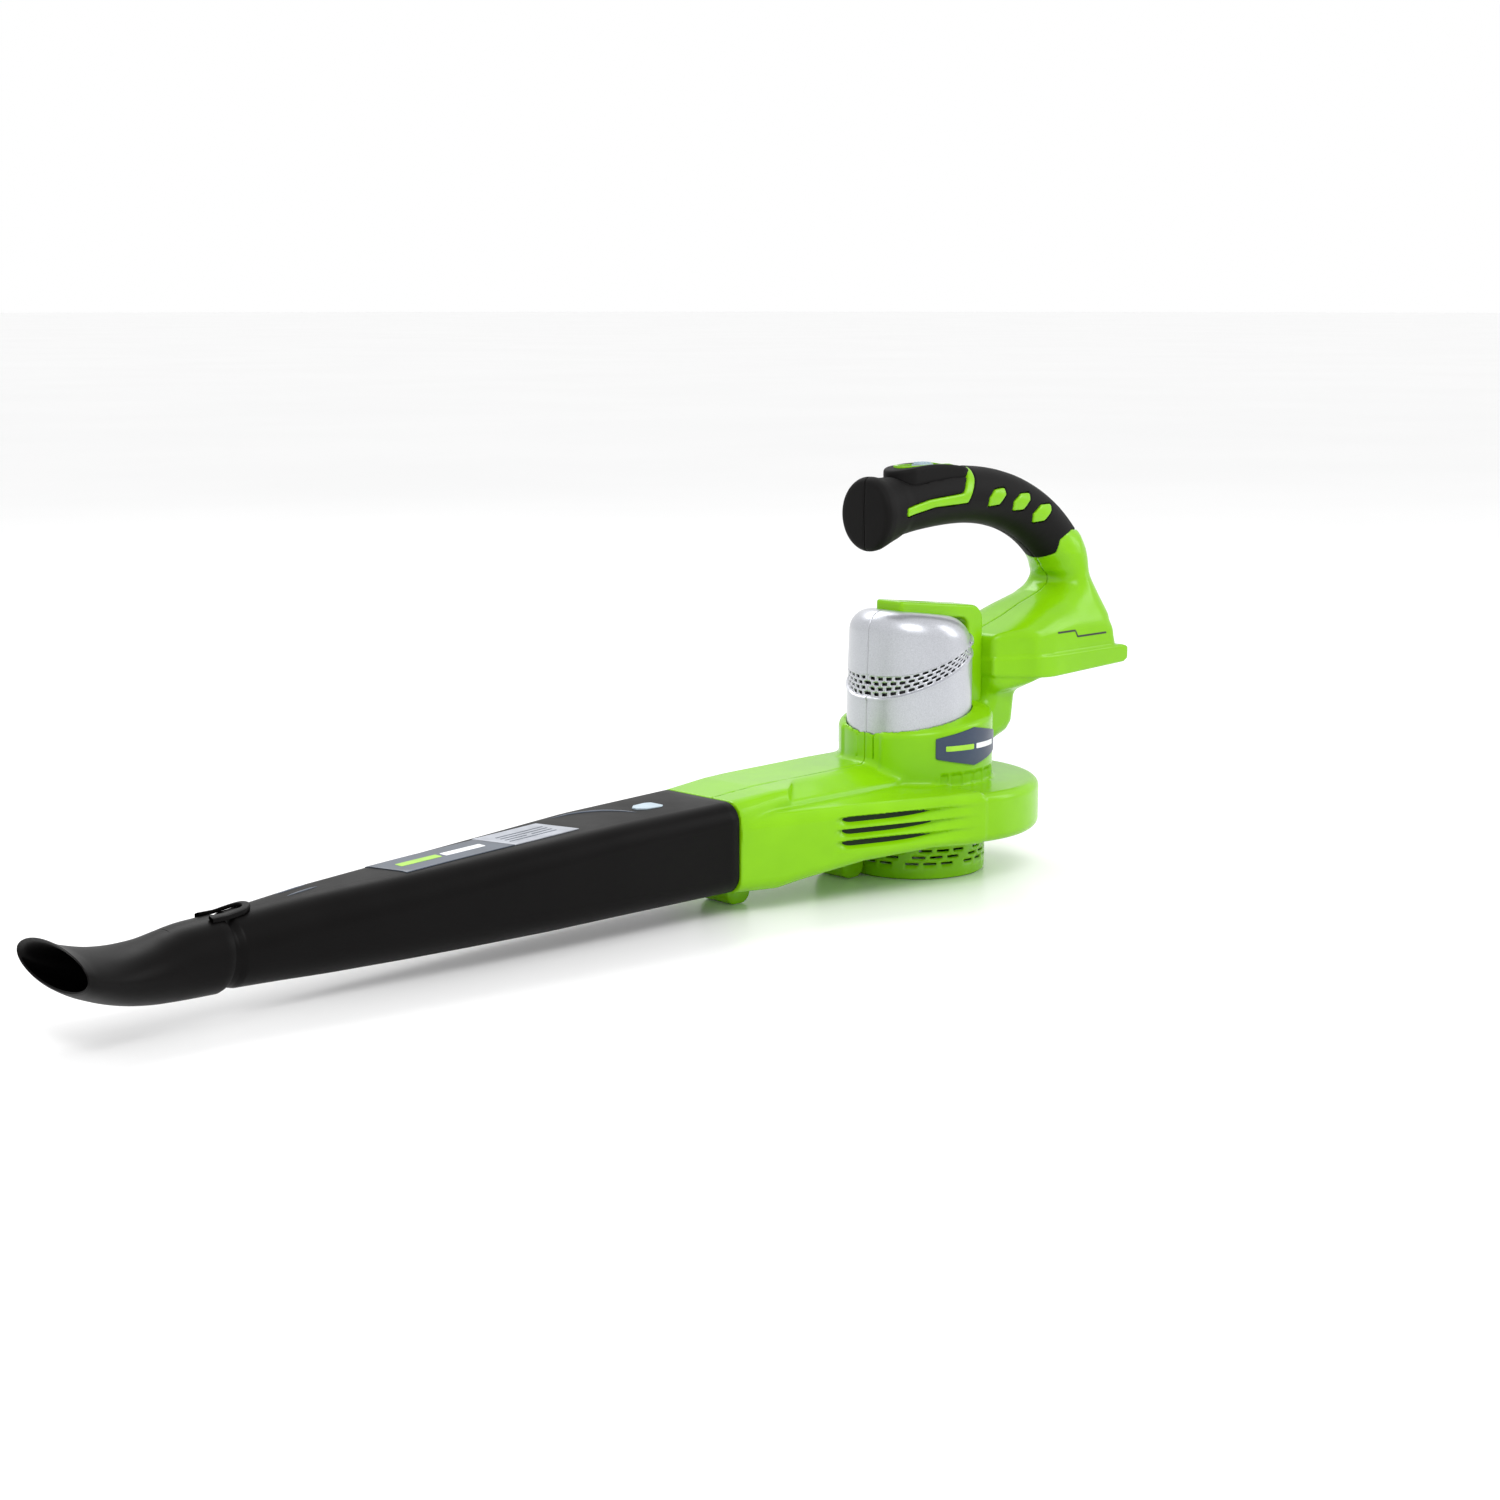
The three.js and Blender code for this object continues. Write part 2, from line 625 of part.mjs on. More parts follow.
const catchPlace = { rootX: DUCT_END_X - 15, tipX: DUCT_END_X - 67, width: 26 };

function buildHousing() {
  const outer = join(
    scrollOuter,
    loft(throatSections),
    roofOuter,
    loft(spigotSections),
    collarOuter,
    rearBody(0),
    coreOuter,
    rootOuter,
    foot(-BASE_R - 12.5, SCROLL_BOTTOM + 1),
    foot(DUCT_END_X + 25.5, ductBottom + 1),
  );
  const throatInner = thinner(throatSections, WALL);
  throatInner[throatInner.length - 1] = { ...throatInner[throatInner.length - 1], x: flankStartX + 4 };
  throatInner[0] = { ...throatInner[0], x: DUCT_END_X + 3 };
  const spigotInner = thinner(spigotSections, WALL);
  spigotInner[0] = { ...spigotInner[0], x: spigotEndX - 5 };
  spigotInner[spigotInner.length - 1] = { ...spigotInner[spigotInner.length - 1], x: DUCT_END_X + 3.5 };
  const hollow = join(
    scrollInner,
    roofInner,
    loft(throatInner),
    loft(spigotInner),
    collarInner,
    rearCavity,
    coreInner,
  );
  const bosses = join(shellScrews.map((screw) => rod([screw.x, DOCK_W, screw.z], [screw.x, -DOCK_W, screw.z], screw.boss, 6)));
  const ledge = cut(
    rod([0, 0, PLATE_Z - CLEAR - 3], [0, 0, PLATE_Z - CLEAR], COLLAR_R, 28),
    rod([0, 0, 50], [0, 0, 80], 43.5, 28),
  );
  const shell = join(cut(outer, hollow), bosses.intersect(outer), ledge, gripPads(0));
  const screwHoles = shellScrews.map((screw) =>
    screwRoom([screw.x, screw.seatY, screw.z], screwDirection, screwLength(screw)));
  const baseHoles = baseScrewAngles.map((angle) =>
    rod([baseScrewR * Math.cos(angle), baseScrewR * Math.sin(angle), 20],
      [baseScrewR * Math.cos(angle), baseScrewR * Math.sin(angle), 40], 1.7 + CLEAR, 10));
  const plateHoles = plateScrewAngles.map((angle) =>
    rod([plateScrewR * Math.cos(angle), plateScrewR * Math.sin(angle), 55],
      [plateScrewR * Math.cos(angle), plateScrewR * Math.sin(angle), 80], 1.7 + CLEAR, 10));
  const catchTop = sectionAt(tubeSections, catchPlace.tipX + 20);
  const catchWindow = box(
    [catchPlace.tipX - RUN, DUCT_Y - catchPlace.width / 2 - RUN, catchTop.z + 12],
    [catchPlace.rootX + RUN, DUCT_Y + catchPlace.width / 2 + RUN, 90],
  );
  const whole = cut(
    shell,
    screwHoles,
    baseHoles,
    plateHoles,
    rod([0, 0, 20], [0, 0, 45], INTAKE_R, 24),
    dockChannel,
    flankGrooves(),
    collarWindows(),
    catchWindow,
    box([30, -12, 76], [56, 12, 106]),
    prismZ(stadium((sliderSlotLow + sliderSlotHigh) / 2, SLIDER_TRAVEL + 10, 6.5), 262, 290),
    box([SLIDER_X - 22 - CLEAR, -8 - CLEAR, 249 - CLEAR], [SLIDER_X + 12 + CLEAR, 8 + CLEAR, 262.5 + CLEAR]),
  );
  addPart('housing_left', whole.intersect(leftHalf), green);
  addPart('housing_right', whole.intersect(rightHalf), green);
  for (const [i, screw] of shellScrews.entries()) {
    screwAlong(`shell_screw_${i + 1}`, [screw.x, screw.seatY, screw.z], screwDirection, screwLength(screw));
  }
}

// ---------------------------------------------------------------- soft grip
function buildGrip() {
  const pommel = loft([
    section(POMMEL_X, 0, 249.5, POMMEL_W - 8, POMMEL_H - 8),
    section(POMMEL_X + 2, 0, 249.5, POMMEL_W - 1.5, POMMEL_H - 1.5),
    section(POMMEL_X + 6, 0, 249.5, POMMEL_W, POMMEL_H),
    section(POMMEL_X + 10, 0, 249.8, POMMEL_W - 2, POMMEL_H - 3),
    section(POMMEL_X + 16, 0, 250.5, POMMEL_W - 6, POMMEL_H - 10),
    section(POMMEL_X + 26, 0, 252, 2 * GRIP_R - 3, 2 * GRIP_R - 3),
  ], 16);
  const sleeve = sweep(gripPath, GRIP_R);
  const grip = cut(
    join(sleeve, pommel),
    sweep(gripPath, CORE_R + CLEAR),
    beyond([gripEnd[0] - 0.2, 0, gripEnd[2] + 0.2], gripEndNormal),
    switchRoom,
    gripPads(CLEAR),
  );
  const screwHoles = shellScrews.slice(0, 2).map((screw) =>
    rod([screw.x, 0, screw.z], [screw.x, 30, screw.z], 4.4, 14));
  addPart('grip_left', cut(grip, screwHoles).intersect(leftHalf), rubber);
  addPart('grip_right', grip.intersect(rightHalf), rubber);
}

// ---------------------------------------------------------------- motor cover and strap
function roofProfile(radius, top, bottom) {
  const profile = [[0, bottom], [radius, bottom], [radius - 1.4, top - 16]];
  const arcSteps = 4;
  for (let i = 1; i <= arcSteps; i += 1) {
    const angle = (Math.PI / 2) * (i / arcSteps);
    profile.push([radius - 17.4 + 16 * Math.cos(angle), top - 16 + 16 * Math.sin(angle)]);
  }
  profile.push([0, top]);
  return profile;
}

// The roof is turned level, then sheared so that it falls toward the battery end.
function coverSolid(radius, top, bottom) {
  const points = roofProfile(radius, top, bottom).map(([r, z]) => new THREE.Vector2(r, z));
  const geometry = new THREE.LatheGeometry(points, COVER_FACETS).rotateX(Math.PI / 2);
  const place = geometry.attributes.position;
  for (let i = 0; i < place.count; i += 1) {
    const share = THREE.MathUtils.clamp((place.getZ(i) - 130) / (top - 130), 0, 1);
    place.setX(i, place.getX(i) + COVER_X);
    place.setZ(i, place.getZ(i) + share * COVER_SLOPE * place.getX(i));
  }
  return solid(geometry);
}

// The vent band sweeps up from the front to the battery end on both sides; a slot sits in
// the middle of each second facet, and the next row fills the facets between.
function coverSlots() {
  const cutters = [];
  const facet = 360 / COVER_FACETS;
  for (const side of [1, -1]) {
    for (let row = 0; row < COVER_SLOT_ROWS; row += 1) {
      for (let column = 1; column < 6; column += 1) {
        const turn = facet * (2 * column + (row % 2) - 0.5);
        const rise = ((1 + Math.cos(THREE.MathUtils.degToRad(turn))) / 2) ** 1.2;
        const geometry = new THREE.BoxGeometry(12, 6, 2).translate(COVER_R - 1.5, 0, 128.5 + row * 4.2 + 40 * rise);
        geometry.rotateZ(side * THREE.MathUtils.degToRad(180 - turn + 180)).translate(COVER_X, 0, 0);
        cutters.push(solid(geometry));
      }
    }
  }
  return join(cutters);
}

const strapZ = (x) => COVER_TOP + STRAP_THICK - STRAP_SINK + STRAP_SLOPE * x;

function strapSolid(grow) {
  const thick = STRAP_THICK + grow;
  const corner = 11;
  const outline = [
    [STRAP_FRONT_X - grow, strapZ(STRAP_FRONT_X) - thick],
    [STRAP_BACK_X - STRAP_LEG - grow - 6, strapZ(36) - thick],
    [STRAP_BACK_X - STRAP_LEG - grow - 1.5, strapZ(36) - thick - 3],
    [STRAP_BACK_X - STRAP_LEG - grow, strapZ(36) - thick - 8],
    [STRAP_BACK_X - STRAP_LEG - grow, COLLAR_TOP + COLLAR_SLOPE * STRAP_BACK_X + CLEAR],
    [STRAP_BACK_X, COLLAR_TOP + COLLAR_SLOPE * STRAP_BACK_X + CLEAR],
    [STRAP_BACK_X, strapZ(STRAP_BACK_X) - corner],
    [STRAP_BACK_X - 3.2, strapZ(STRAP_BACK_X) - 3.6],
    [STRAP_BACK_X - corner, strapZ(STRAP_BACK_X - corner)],
    [STRAP_FRONT_X - grow, strapZ(STRAP_FRONT_X)],
  ];
  return prismY(outline, -STRAP_W / 2 - grow, STRAP_W / 2 + grow);
}

function buildCover() {
  const shell = cut(
    coverSolid(COVER_R, COVER_TOP, COVER_SKIRT_Z),
    coverSolid(COVER_R - COVER_WALL, COVER_TOP - COVER_WALL - 4, COVER_SKIRT_Z - 10),
    coverSlots(),
    strapSolid(CLEAR),
  );
  addPart('motor_cover_left', shell.intersect(leftHalf), silver);
  addPart('motor_cover_right', shell.intersect(rightHalf), silver);

  const ovalDepth = 3;
  const ovalX = -1;
  const ovalLength = 32;
  const oval = prismZ(stadium(ovalX, ovalLength, 13), strapZ(ovalX) - ovalDepth, 220);
  addPart('cover_strap', cut(strapSolid(0), oval), green);
  const insertTop = strapZ(ovalX) - 1.6;
  const insert = prismZ(stadium(ovalX, ovalLength - 2 * CLEAR, 13 - 2 * CLEAR), strapZ(ovalX) - ovalDepth + CLEAR, insertTop);
  addPart('strap_insert', insert, darkPrint);
}

// ---------------------------------------------------------------- badges
function buildBadges() {
  const halfArc = 31;
  const outline = [
    [-halfArc, 83.5],
    [0, 76.5],
    [halfArc, 83.5],
    [halfArc, 97],
    [0, 104],
    [-halfArc, 97],
  ];
  const shell = cut(rod([0, 0, 60], [0, 0, 110], COLLAR_R + 1.3, 40), rod([0, 0, 50], [0, 0, 120], COLLAR_R + CLEAR, 40));
  const lifted = outline.map(([u, v]) => [u * 0.97, v + 3]);
  addPart('badge_left', shell.intersect(prismY(lifted, 20, 80)), navy);
  addPart('badge_right', shell.intersect(prismY(lifted, -80, -20)), navy);
}

// ---------------------------------------------------------------- intake base
function baseSlots() {
  const cutters = [];
  for (let row = 0; row < BASE_SLOT_ROWS; row += 1) {
    for (let slot = 0; slot < BASE_FACETS; slot += 1) {
      const turn = (360 * (slot + 0.5)) / BASE_FACETS - 90 + (row - 1) * 1.8;
      const geometry = new THREE.BoxGeometry(8, 9, 1.7).translate(BASE_R - 1, 0, 11 + row * 4.4);
      cutters.push(solid(geometry.rotateZ(THREE.MathUtils.degToRad(turn))));
    }
  }
  return join(cutters);
}

function buildIntakeBase() {
  const top = SCROLL_BOTTOM - CLEAR;
  const cup = cut(
    rod([0, 0, 0], [0, 0, top], BASE_R, BASE_FACETS),
    rod([0, 0, WALL], [0, 0, top - 3], BASE_R - WALL, BASE_FACETS),
    rod([0, 0, WALL], [0, 0, top + 5], INTAKE_R + 1, BASE_FACETS),
  );
  const floorSlots = [];
  const spokes = 8;
  for (let i = 0; i < spokes; i += 1) {
    const geometry = new THREE.BoxGeometry(18, 8, 12).translate(27, 0, 0);
    floorSlots.push(solid(geometry.rotateZ((2 * Math.PI * (i + 0.5)) / spokes)));
  }
  const posts = baseScrewAngles.map((angle) =>
    rod([baseScrewR * Math.cos(angle), baseScrewR * Math.sin(angle), 1], [baseScrewR * Math.cos(angle), baseScrewR * Math.sin(angle), top - 1], 5, 8));
  const inside = rod([0, 0, 0], [0, 0, top], BASE_R, BASE_FACETS);
  const seats = baseScrewAngles.map((angle) => [baseScrewR * Math.cos(angle), baseScrewR * Math.sin(angle), 20]);
  const rooms = seats.map((seat) => screwRoom(seat, [0, 0, 1], 18));
  addPart('intake_base', cut(join(cut(cup, floorSlots, baseSlots()), join(posts).intersect(inside)), rooms), green);
  for (const [i, seat] of seats.entries()) screwAlong(`base_screw_${i + 1}`, seat, [0, 0, 1], 18);
}

// ---------------------------------------------------------------- motor and fan
function buildMotor() {
  const plateTop = PLATE_Z + PLATE_THICK;
  const plate = cut(
    rod([0, 0, PLATE_Z], [0, 0, plateTop], COLLAR_R - WALL - RUN, 36),
    rod([0, 0, PLATE_Z - 5], [0, 0, plateTop + 5], 9, 24),
    plateScrewAngles.map((angle) =>
      rod([plateScrewR * Math.cos(angle), plateScrewR * Math.sin(angle), PLATE_Z - 5],
        [plateScrewR * Math.cos(angle), plateScrewR * Math.sin(angle), plateTop + 5], 1.7 + CLEAR, 10)),
  );
  addPart('motor_plate', plate, steel);
  for (const [i, angle] of plateScrewAngles.entries()) {
    const seat = [plateScrewR * Math.cos(angle), plateScrewR * Math.sin(angle), plateTop + 0.05];
    screwAlong(`plate_screw_${i + 1}`, seat, [0, 0, -1], 8, 1.7, 2.6);
  }

  const canTop = MOTOR_BOTTOM + MOTOR_LENGTH;
  const can = cut(
    rod([0, 0, MOTOR_BOTTOM], [0, 0, canTop], MOTOR_R, 28),
    rod([0, 0, MOTOR_BOTTOM + 1.8], [0, 0, canTop + 5], MOTOR_R - 1.8, 28),
    rod([0, 0, MOTOR_BOTTOM - 5], [0, 0, MOTOR_BOTTOM + 5], 7.5, 20),
  );
  addPart('motor_can', can, steel);
  const capTop = canTop + 8;
  const endCap = cut(
    rod([0, 0, canTop + CLEAR], [0, 0, capTop], MOTOR_R, 28),
    rod([0, 0, canTop - 5], [0, 0, capTop - 3], SHAFT_R + 2.4, 20),
    rod([0, 0, canTop - 5], [0, 0, capTop + 5], SHAFT_R + RUN, 20),
  );
  addPart('motor_end_cap', endCap, black);
  for (const [name, middle] of [['magnet_left', 90], ['magnet_right', 270]]) {
    const sleeve = cut(
      rod([0, 0, MOTOR_BOTTOM + 8], [0, 0, canTop - 10], MOTOR_R - 1.8 - CLEAR - 0.2, 28),
      rod([0, 0, MOTOR_BOTTOM], [0, 0, canTop], MOTOR_R - 7.5, 28),
    );
    const side = Math.sign(Math.sin(THREE.MathUtils.degToRad(middle)));
    const keep = side > 0 ? box([-24, 6, 0], [24, 60, 200]) : box([-24, -60, 0], [24, -6, 200]);
    addPart(name, sleeve.intersect(keep), ferrite);
  }
  const bush = cut(
    rod([0, 0, MOTOR_BOTTOM + 0.2], [0, 0, MOTOR_BOTTOM + 6], 7, 20),
    rod([0, 0, MOTOR_BOTTOM - 2], [0, 0, MOTOR_BOTTOM + 8], SHAFT_R + 0.15, 24),
  );
  addPart('shaft_bush', bush, copper);

  const shaft = rod([0, 0, 40], [0, 0, capTop - 1], SHAFT_R, 24);
  addPart('motor_shaft', shaft, steel);
  const slots = [];
  for (let i = 0; i < 6; i += 1) {
    const geometry = new THREE.BoxGeometry(14, 3, 80).translate(17.5, 0, MOTOR_BOTTOM + 30);
    slots.push(solid(geometry.rotateZ((2 * Math.PI * i) / 6)));
  }
  const drum = cut(rod([0, 0, MOTOR_BOTTOM + 12], [0, 0, canTop - 14], MOTOR_R - 8.5, 28), slots);
  const commutator = rod([0, 0, canTop - 14.5], [0, 0, canTop - 2], 8, 20);
  const bore = rod([0, 0, 60], [0, 0, 200], SHAFT_R + CLEAR, 24);
  addPart('armature', cut(join(drum, commutator), bore), copper);
}

function buildFan() {
  const backTop = 60;
  const bottom = 39;
  const disc = rod([0, 0, backTop - 2.2], [0, 0, backTop], FAN_R, 30);
  const hub = rod([0, 0, bottom + 6], [0, 0, backTop - 1], 11, 24, 13);
  const blades = [];
  for (let i = 0; i < FAN_BLADES; i += 1) {
    const turn = (2 * Math.PI * i) / FAN_BLADES;
    const line = [];
    const steps = 3;
    for (let j = 0; j <= steps; j += 1) {
      const reach = 20 + ((FAN_R - 22) * j) / steps;
      const lag = turn + 0.5 * (j / steps) ** 1.5;
      line.push([reach * Math.cos(lag), reach * Math.sin(lag)]);
    }
    const back = line.map(([x, y]) => [x + 1.9 * Math.sin(turn + 0.3), y - 1.9 * Math.cos(turn + 0.3)]).reverse();
    blades.push(prismZ([...line, ...back], bottom, backTop - 1));
  }
  const arms = [];
  for (let i = 0; i < FAN_BLADES; i += 2) {
    arms.push(solid(new THREE.BoxGeometry(14, 2, 8).translate(16, 0, backTop - 6).rotateZ((2 * Math.PI * i) / FAN_BLADES)));
  }
  const bore = rod([0, 0, 30], [0, 0, 70], SHAFT_R + CLEAR, 24);
  addPart('impeller', cut(join(disc, hub, blades, arms), bore), black);
  const washer = cut(rod([0, 0, 43.3], [0, 0, 44.7], 7, 20), rod([0, 0, 40], [0, 0, 50], SHAFT_R + CLEAR, 24));
  addPart('impeller_washer', washer, steel);
  const nut = cut(rod([0, 0, 39], [0, 0, 43], 5.6, 6), rod([0, 0, 39.7], [0, 0, 50], SHAFT_R + CLEAR, 24));
  addPart('impeller_nut', nut, steel);
}

// ---------------------------------------------------------------- electrics
function lead(name, side, material) {
  const path = [
    [88, side * 7, 158],
    [70, side * 7, 152],
    [62, side * 7, 138],
    [60.5, side * 7, 118],
    [58, side * 7, 101],
    [50, side * 7, 90],
    [41, side * 7, 80],
    [33.5, side * 7, 80.5],
    [31, side * 7, 89],
    [30.5, side * 7, 105],
    [30.4, side * 7, 146],
  ];
  addPart(name, sweep(path, 1.1, 6, 22), material);
}

function buildElectrics() {
  const blockTop = DOCK_CEILING_Z - CLEAR;
  const block = box([dockFrontX + CLEAR, -18, 139], [dockFrontX + 16, 18, blockTop]);
  const slots = [-12, 0, 12].map((y) => box([dockFrontX + 4, y - 1.8, 138], [dockFrontX + 20, y + 1.8, 147]));
  addPart('terminal_block', cut(block, slots), black);
  for (const [i, y] of [-12, 0, 12].entries()) {
    addPart(`contact_${i + 1}`, box([dockFrontX + 5, y - 0.6, 140], [dockFrontX + 15, y + 0.6, 146.5]), copper);
  }
  addPart('control_board', box([92, -17, dockCeiling + 3], [128, 17, dockCeiling + 4.6]), boardGreen);
  lead('red_lead', 1, redWire);
  lead('black_lead', -1, blackWire);
}

// ---------------------------------------------------------------- tube, catch and nozzle
const button = { tipX: DUCT_END_X - 56, backX: DUCT_END_X - 36, width: 16 };

function buttonOutline(grow) {
  const half = button.width / 2 + grow;
  return [
    [button.tipX - grow * 1.8, DUCT_Y - 2],
    [button.tipX - grow * 1.8, DUCT_Y + 2],
    [button.tipX + 5, DUCT_Y + 6.5 + grow * 0.8],
    [button.backX - 4, DUCT_Y + half],
    [button.backX + grow, DUCT_Y + half - 3],
    [button.backX + grow, DUCT_Y - half + 3],
    [button.backX - 4, DUCT_Y - half],
    [button.tipX + 5, DUCT_Y - 6.5 - grow * 0.8],
  ].reverse();
}

function topOfTube(x) {
  const part = sectionAt(tubeSections, x);
  return part.z + part.halfH;
}

function buildCatch() {
  const armTop = topOfTube(catchPlace.tipX) - TUBE_WALL - RUN;
  const arm = box(
    [catchPlace.tipX, DUCT_Y - catchPlace.width / 2, armTop - 2.2],
    [catchPlace.rootX, DUCT_Y + catchPlace.width / 2, armTop],
  );
  const key = prismZ(buttonOutline(0), armTop - 1, topOfTube(button.backX) + 0.3);
  const knuckle = rod(
    [catchPlace.rootX - 2.2, DUCT_Y - catchPlace.width / 2, armTop - 1.9],
    [catchPlace.rootX - 2.2, DUCT_Y + catchPlace.width / 2, armTop - 1.9],
    2.1, 14,
  );
  addPart('tube_catch', join(arm, key, knuckle), paleBlue);
}

function labelSolid(startX, endX, width) {
  const grown = thinner(tubeSections, -0.75);
  const under = thinner(tubeSections, -CLEAR);
  const plate = box([startX, DUCT_Y - width / 2, 50], [endX, DUCT_Y + width / 2, 100]);
  return loft(grown).subtract(loft(under)).intersect(plate);
}

function buildTube() {
  const bore = thinner(tubeSections, TUBE_WALL);
  bore[0] = { ...bore[0], x: TUBE_TIP_X - 5 };
  bore[bore.length - 1] = { ...bore[bore.length - 1], x: DUCT_END_X + 5 };
  const bump = box(
    [NOZZLE_RING_X + 12.5, DUCT_Y - 4, TUBE_TIP_Z + TUBE_TIP_R - 2],
    [NOZZLE_RING_X + 16.2, DUCT_Y + 4, topOfTube(NOZZLE_RING_X + 15) + RUN - 0.15],
  );
  const keyHole = prismZ(buttonOutline(1.2), 55, 100);
  const shell = cut(join(loft(tubeSections), bump), loft(bore), keyHole);
  addPart('blower_tube', shell, black);
  addPart('tube_label_dark', labelSolid(TUBE_TIP_X + 150, TUBE_TIP_X + 230.8, 30), darkPrint);
  addPart('tube_label_light', labelSolid(TUBE_TIP_X + 231.2, TUBE_TIP_X + 282, 34), greyPrint);
}

function buildNozzle() {
  const ringR = TUBE_TIP_R + RUN + NOZZLE_WALL;
  const outer = [
    section(NOZZLE_MOUTH_X, DUCT_Y, NOZZLE_MOUTH_Z, NOZZLE_MOUTH_W, NOZZLE_MOUTH_H, null, -0.2),
    section(NOZZLE_MOUTH_X + 7, DUCT_Y, NOZZLE_MOUTH_Z - 3.4, NOZZLE_MOUTH_W - 4, NOZZLE_MOUTH_H - 0.6, null, -0.1),
    section(NOZZLE_MOUTH_X + 21, DUCT_Y, 38.8, 61.5, 29.6),
    section(NOZZLE_MOUTH_X + 38, DUCT_Y, 35.2, 54, 32.6),
    section(NOZZLE_MOUTH_X + 54, DUCT_Y, 34.2, 48.5, 36.4),
    section(TUBE_TIP_X - 2, DUCT_Y, TUBE_TIP_Z - 0.6, 2 * ringR, 2 * ringR - 2),
    section(TUBE_TIP_X + 14, DUCT_Y, TUBE_TIP_Z, 2 * ringR, 2 * ringR),
    section(NOZZLE_RING_X, DUCT_Y, TUBE_TIP_Z, 2 * ringR, 2 * ringR, null, 0.12),
  ];
  const flow = thinner(outer.slice(0, 6), NOZZLE_WALL);
  flow[0] = { ...flow[0], x: NOZZLE_MOUTH_X - 1.6 };
  flow[5] = { ...flow[5], x: TUBE_TIP_X - 1.5 };
  const socketR = TUBE_TIP_R + RUN;
  const socket = rod([TUBE_TIP_X - 1, DUCT_Y, TUBE_TIP_Z], [NOZZLE_RING_X + 20, DUCT_Y, TUBE_TIP_Z], socketR, 20);
  const passage = rod([TUBE_TIP_X - 4, DUCT_Y, TUBE_TIP_Z - 0.6], [TUBE_TIP_X, DUCT_Y, TUBE_TIP_Z], TUBE_TIP_R - TUBE_WALL, 20);
  const tongueEnd = NOZZLE_RING_X + 21;
  const tongueTop = topOfTube(tongueEnd) + RUN + 2;
  const tongue = box([NOZZLE_RING_X - 2, DUCT_Y - 9.5, TUBE_TIP_Z + TUBE_TIP_R - 2], [tongueEnd, DUCT_Y + 9.5, tongueTop]);
  const eye = box([NOZZLE_RING_X + 11.5, DUCT_Y - 6.8, 30], [NOZZLE_RING_X + 17.2, DUCT_Y + 6.8, 100]);
  const room = join(
    rod([TUBE_TIP_X - 1, DUCT_Y, TUBE_TIP_Z], [NOZZLE_RING_X + 30, DUCT_Y, TUBE_TIP_Z], socketR, 20),
    loft(thinner(tubeSections, -RUN)),
  );
  const ring = join(cut(loft(outer), socket), cut(tongue, eye, room));
  addPart('nozzle', cut(ring, loft(flow), passage), black);
}

buildHousing();
buildGrip();
buildSwitch();
buildCover();
buildBadges();
buildIntakeBase();
buildMotor();
buildFan();
buildElectrics();
buildCatch();
buildTube();
buildNozzle();

export default group;
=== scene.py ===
"""Looks of the cordless leaf blower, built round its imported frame. Shapes are worked out in millimetres."""
import math

import bpy
import numpy as np
from mathutils import Matrix, Vector


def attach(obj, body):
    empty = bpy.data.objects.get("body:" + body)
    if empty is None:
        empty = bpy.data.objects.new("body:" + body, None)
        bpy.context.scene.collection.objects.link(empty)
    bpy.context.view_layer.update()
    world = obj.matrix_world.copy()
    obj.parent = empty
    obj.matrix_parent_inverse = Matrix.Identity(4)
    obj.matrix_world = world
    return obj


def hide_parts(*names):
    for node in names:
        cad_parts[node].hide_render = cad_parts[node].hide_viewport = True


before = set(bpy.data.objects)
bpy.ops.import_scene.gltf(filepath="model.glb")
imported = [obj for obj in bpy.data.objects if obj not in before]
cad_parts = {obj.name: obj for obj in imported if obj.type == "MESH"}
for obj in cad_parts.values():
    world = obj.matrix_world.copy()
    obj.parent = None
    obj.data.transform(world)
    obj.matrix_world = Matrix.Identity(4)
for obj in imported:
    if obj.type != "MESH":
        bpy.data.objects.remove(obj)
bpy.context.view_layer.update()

MM = 0.001


# ---------------------------------------------------------------- finishes
def linear(code):
    """sRGB hex to linear light: below 0.04045 divided by 12.92, above it ((c + 0.055) / 1.055) to the power 2.4."""
    parts = [int(code[i:i + 2], 16) / 255 for i in (1, 3, 5)]
    return tuple(c / 12.92 if c <= 0.04045 else ((c + 0.055) / 1.055) ** 2.4 for c in parts) + (1.0,)


def add_node(tree, kind, sockets=None, **settings):
    """Adds one node: settings are its own properties, and sockets gives each input a value or another node's output."""
    made = tree.nodes.new(kind)
    for name, value in settings.items():
        setattr(made, name, value)
    for key, value in (sockets or {}).items():
        if isinstance(value, bpy.types.NodeSocket):
            tree.links.new(value, made.inputs[key])
        else:
            made.inputs[key].default_value = value
    return made


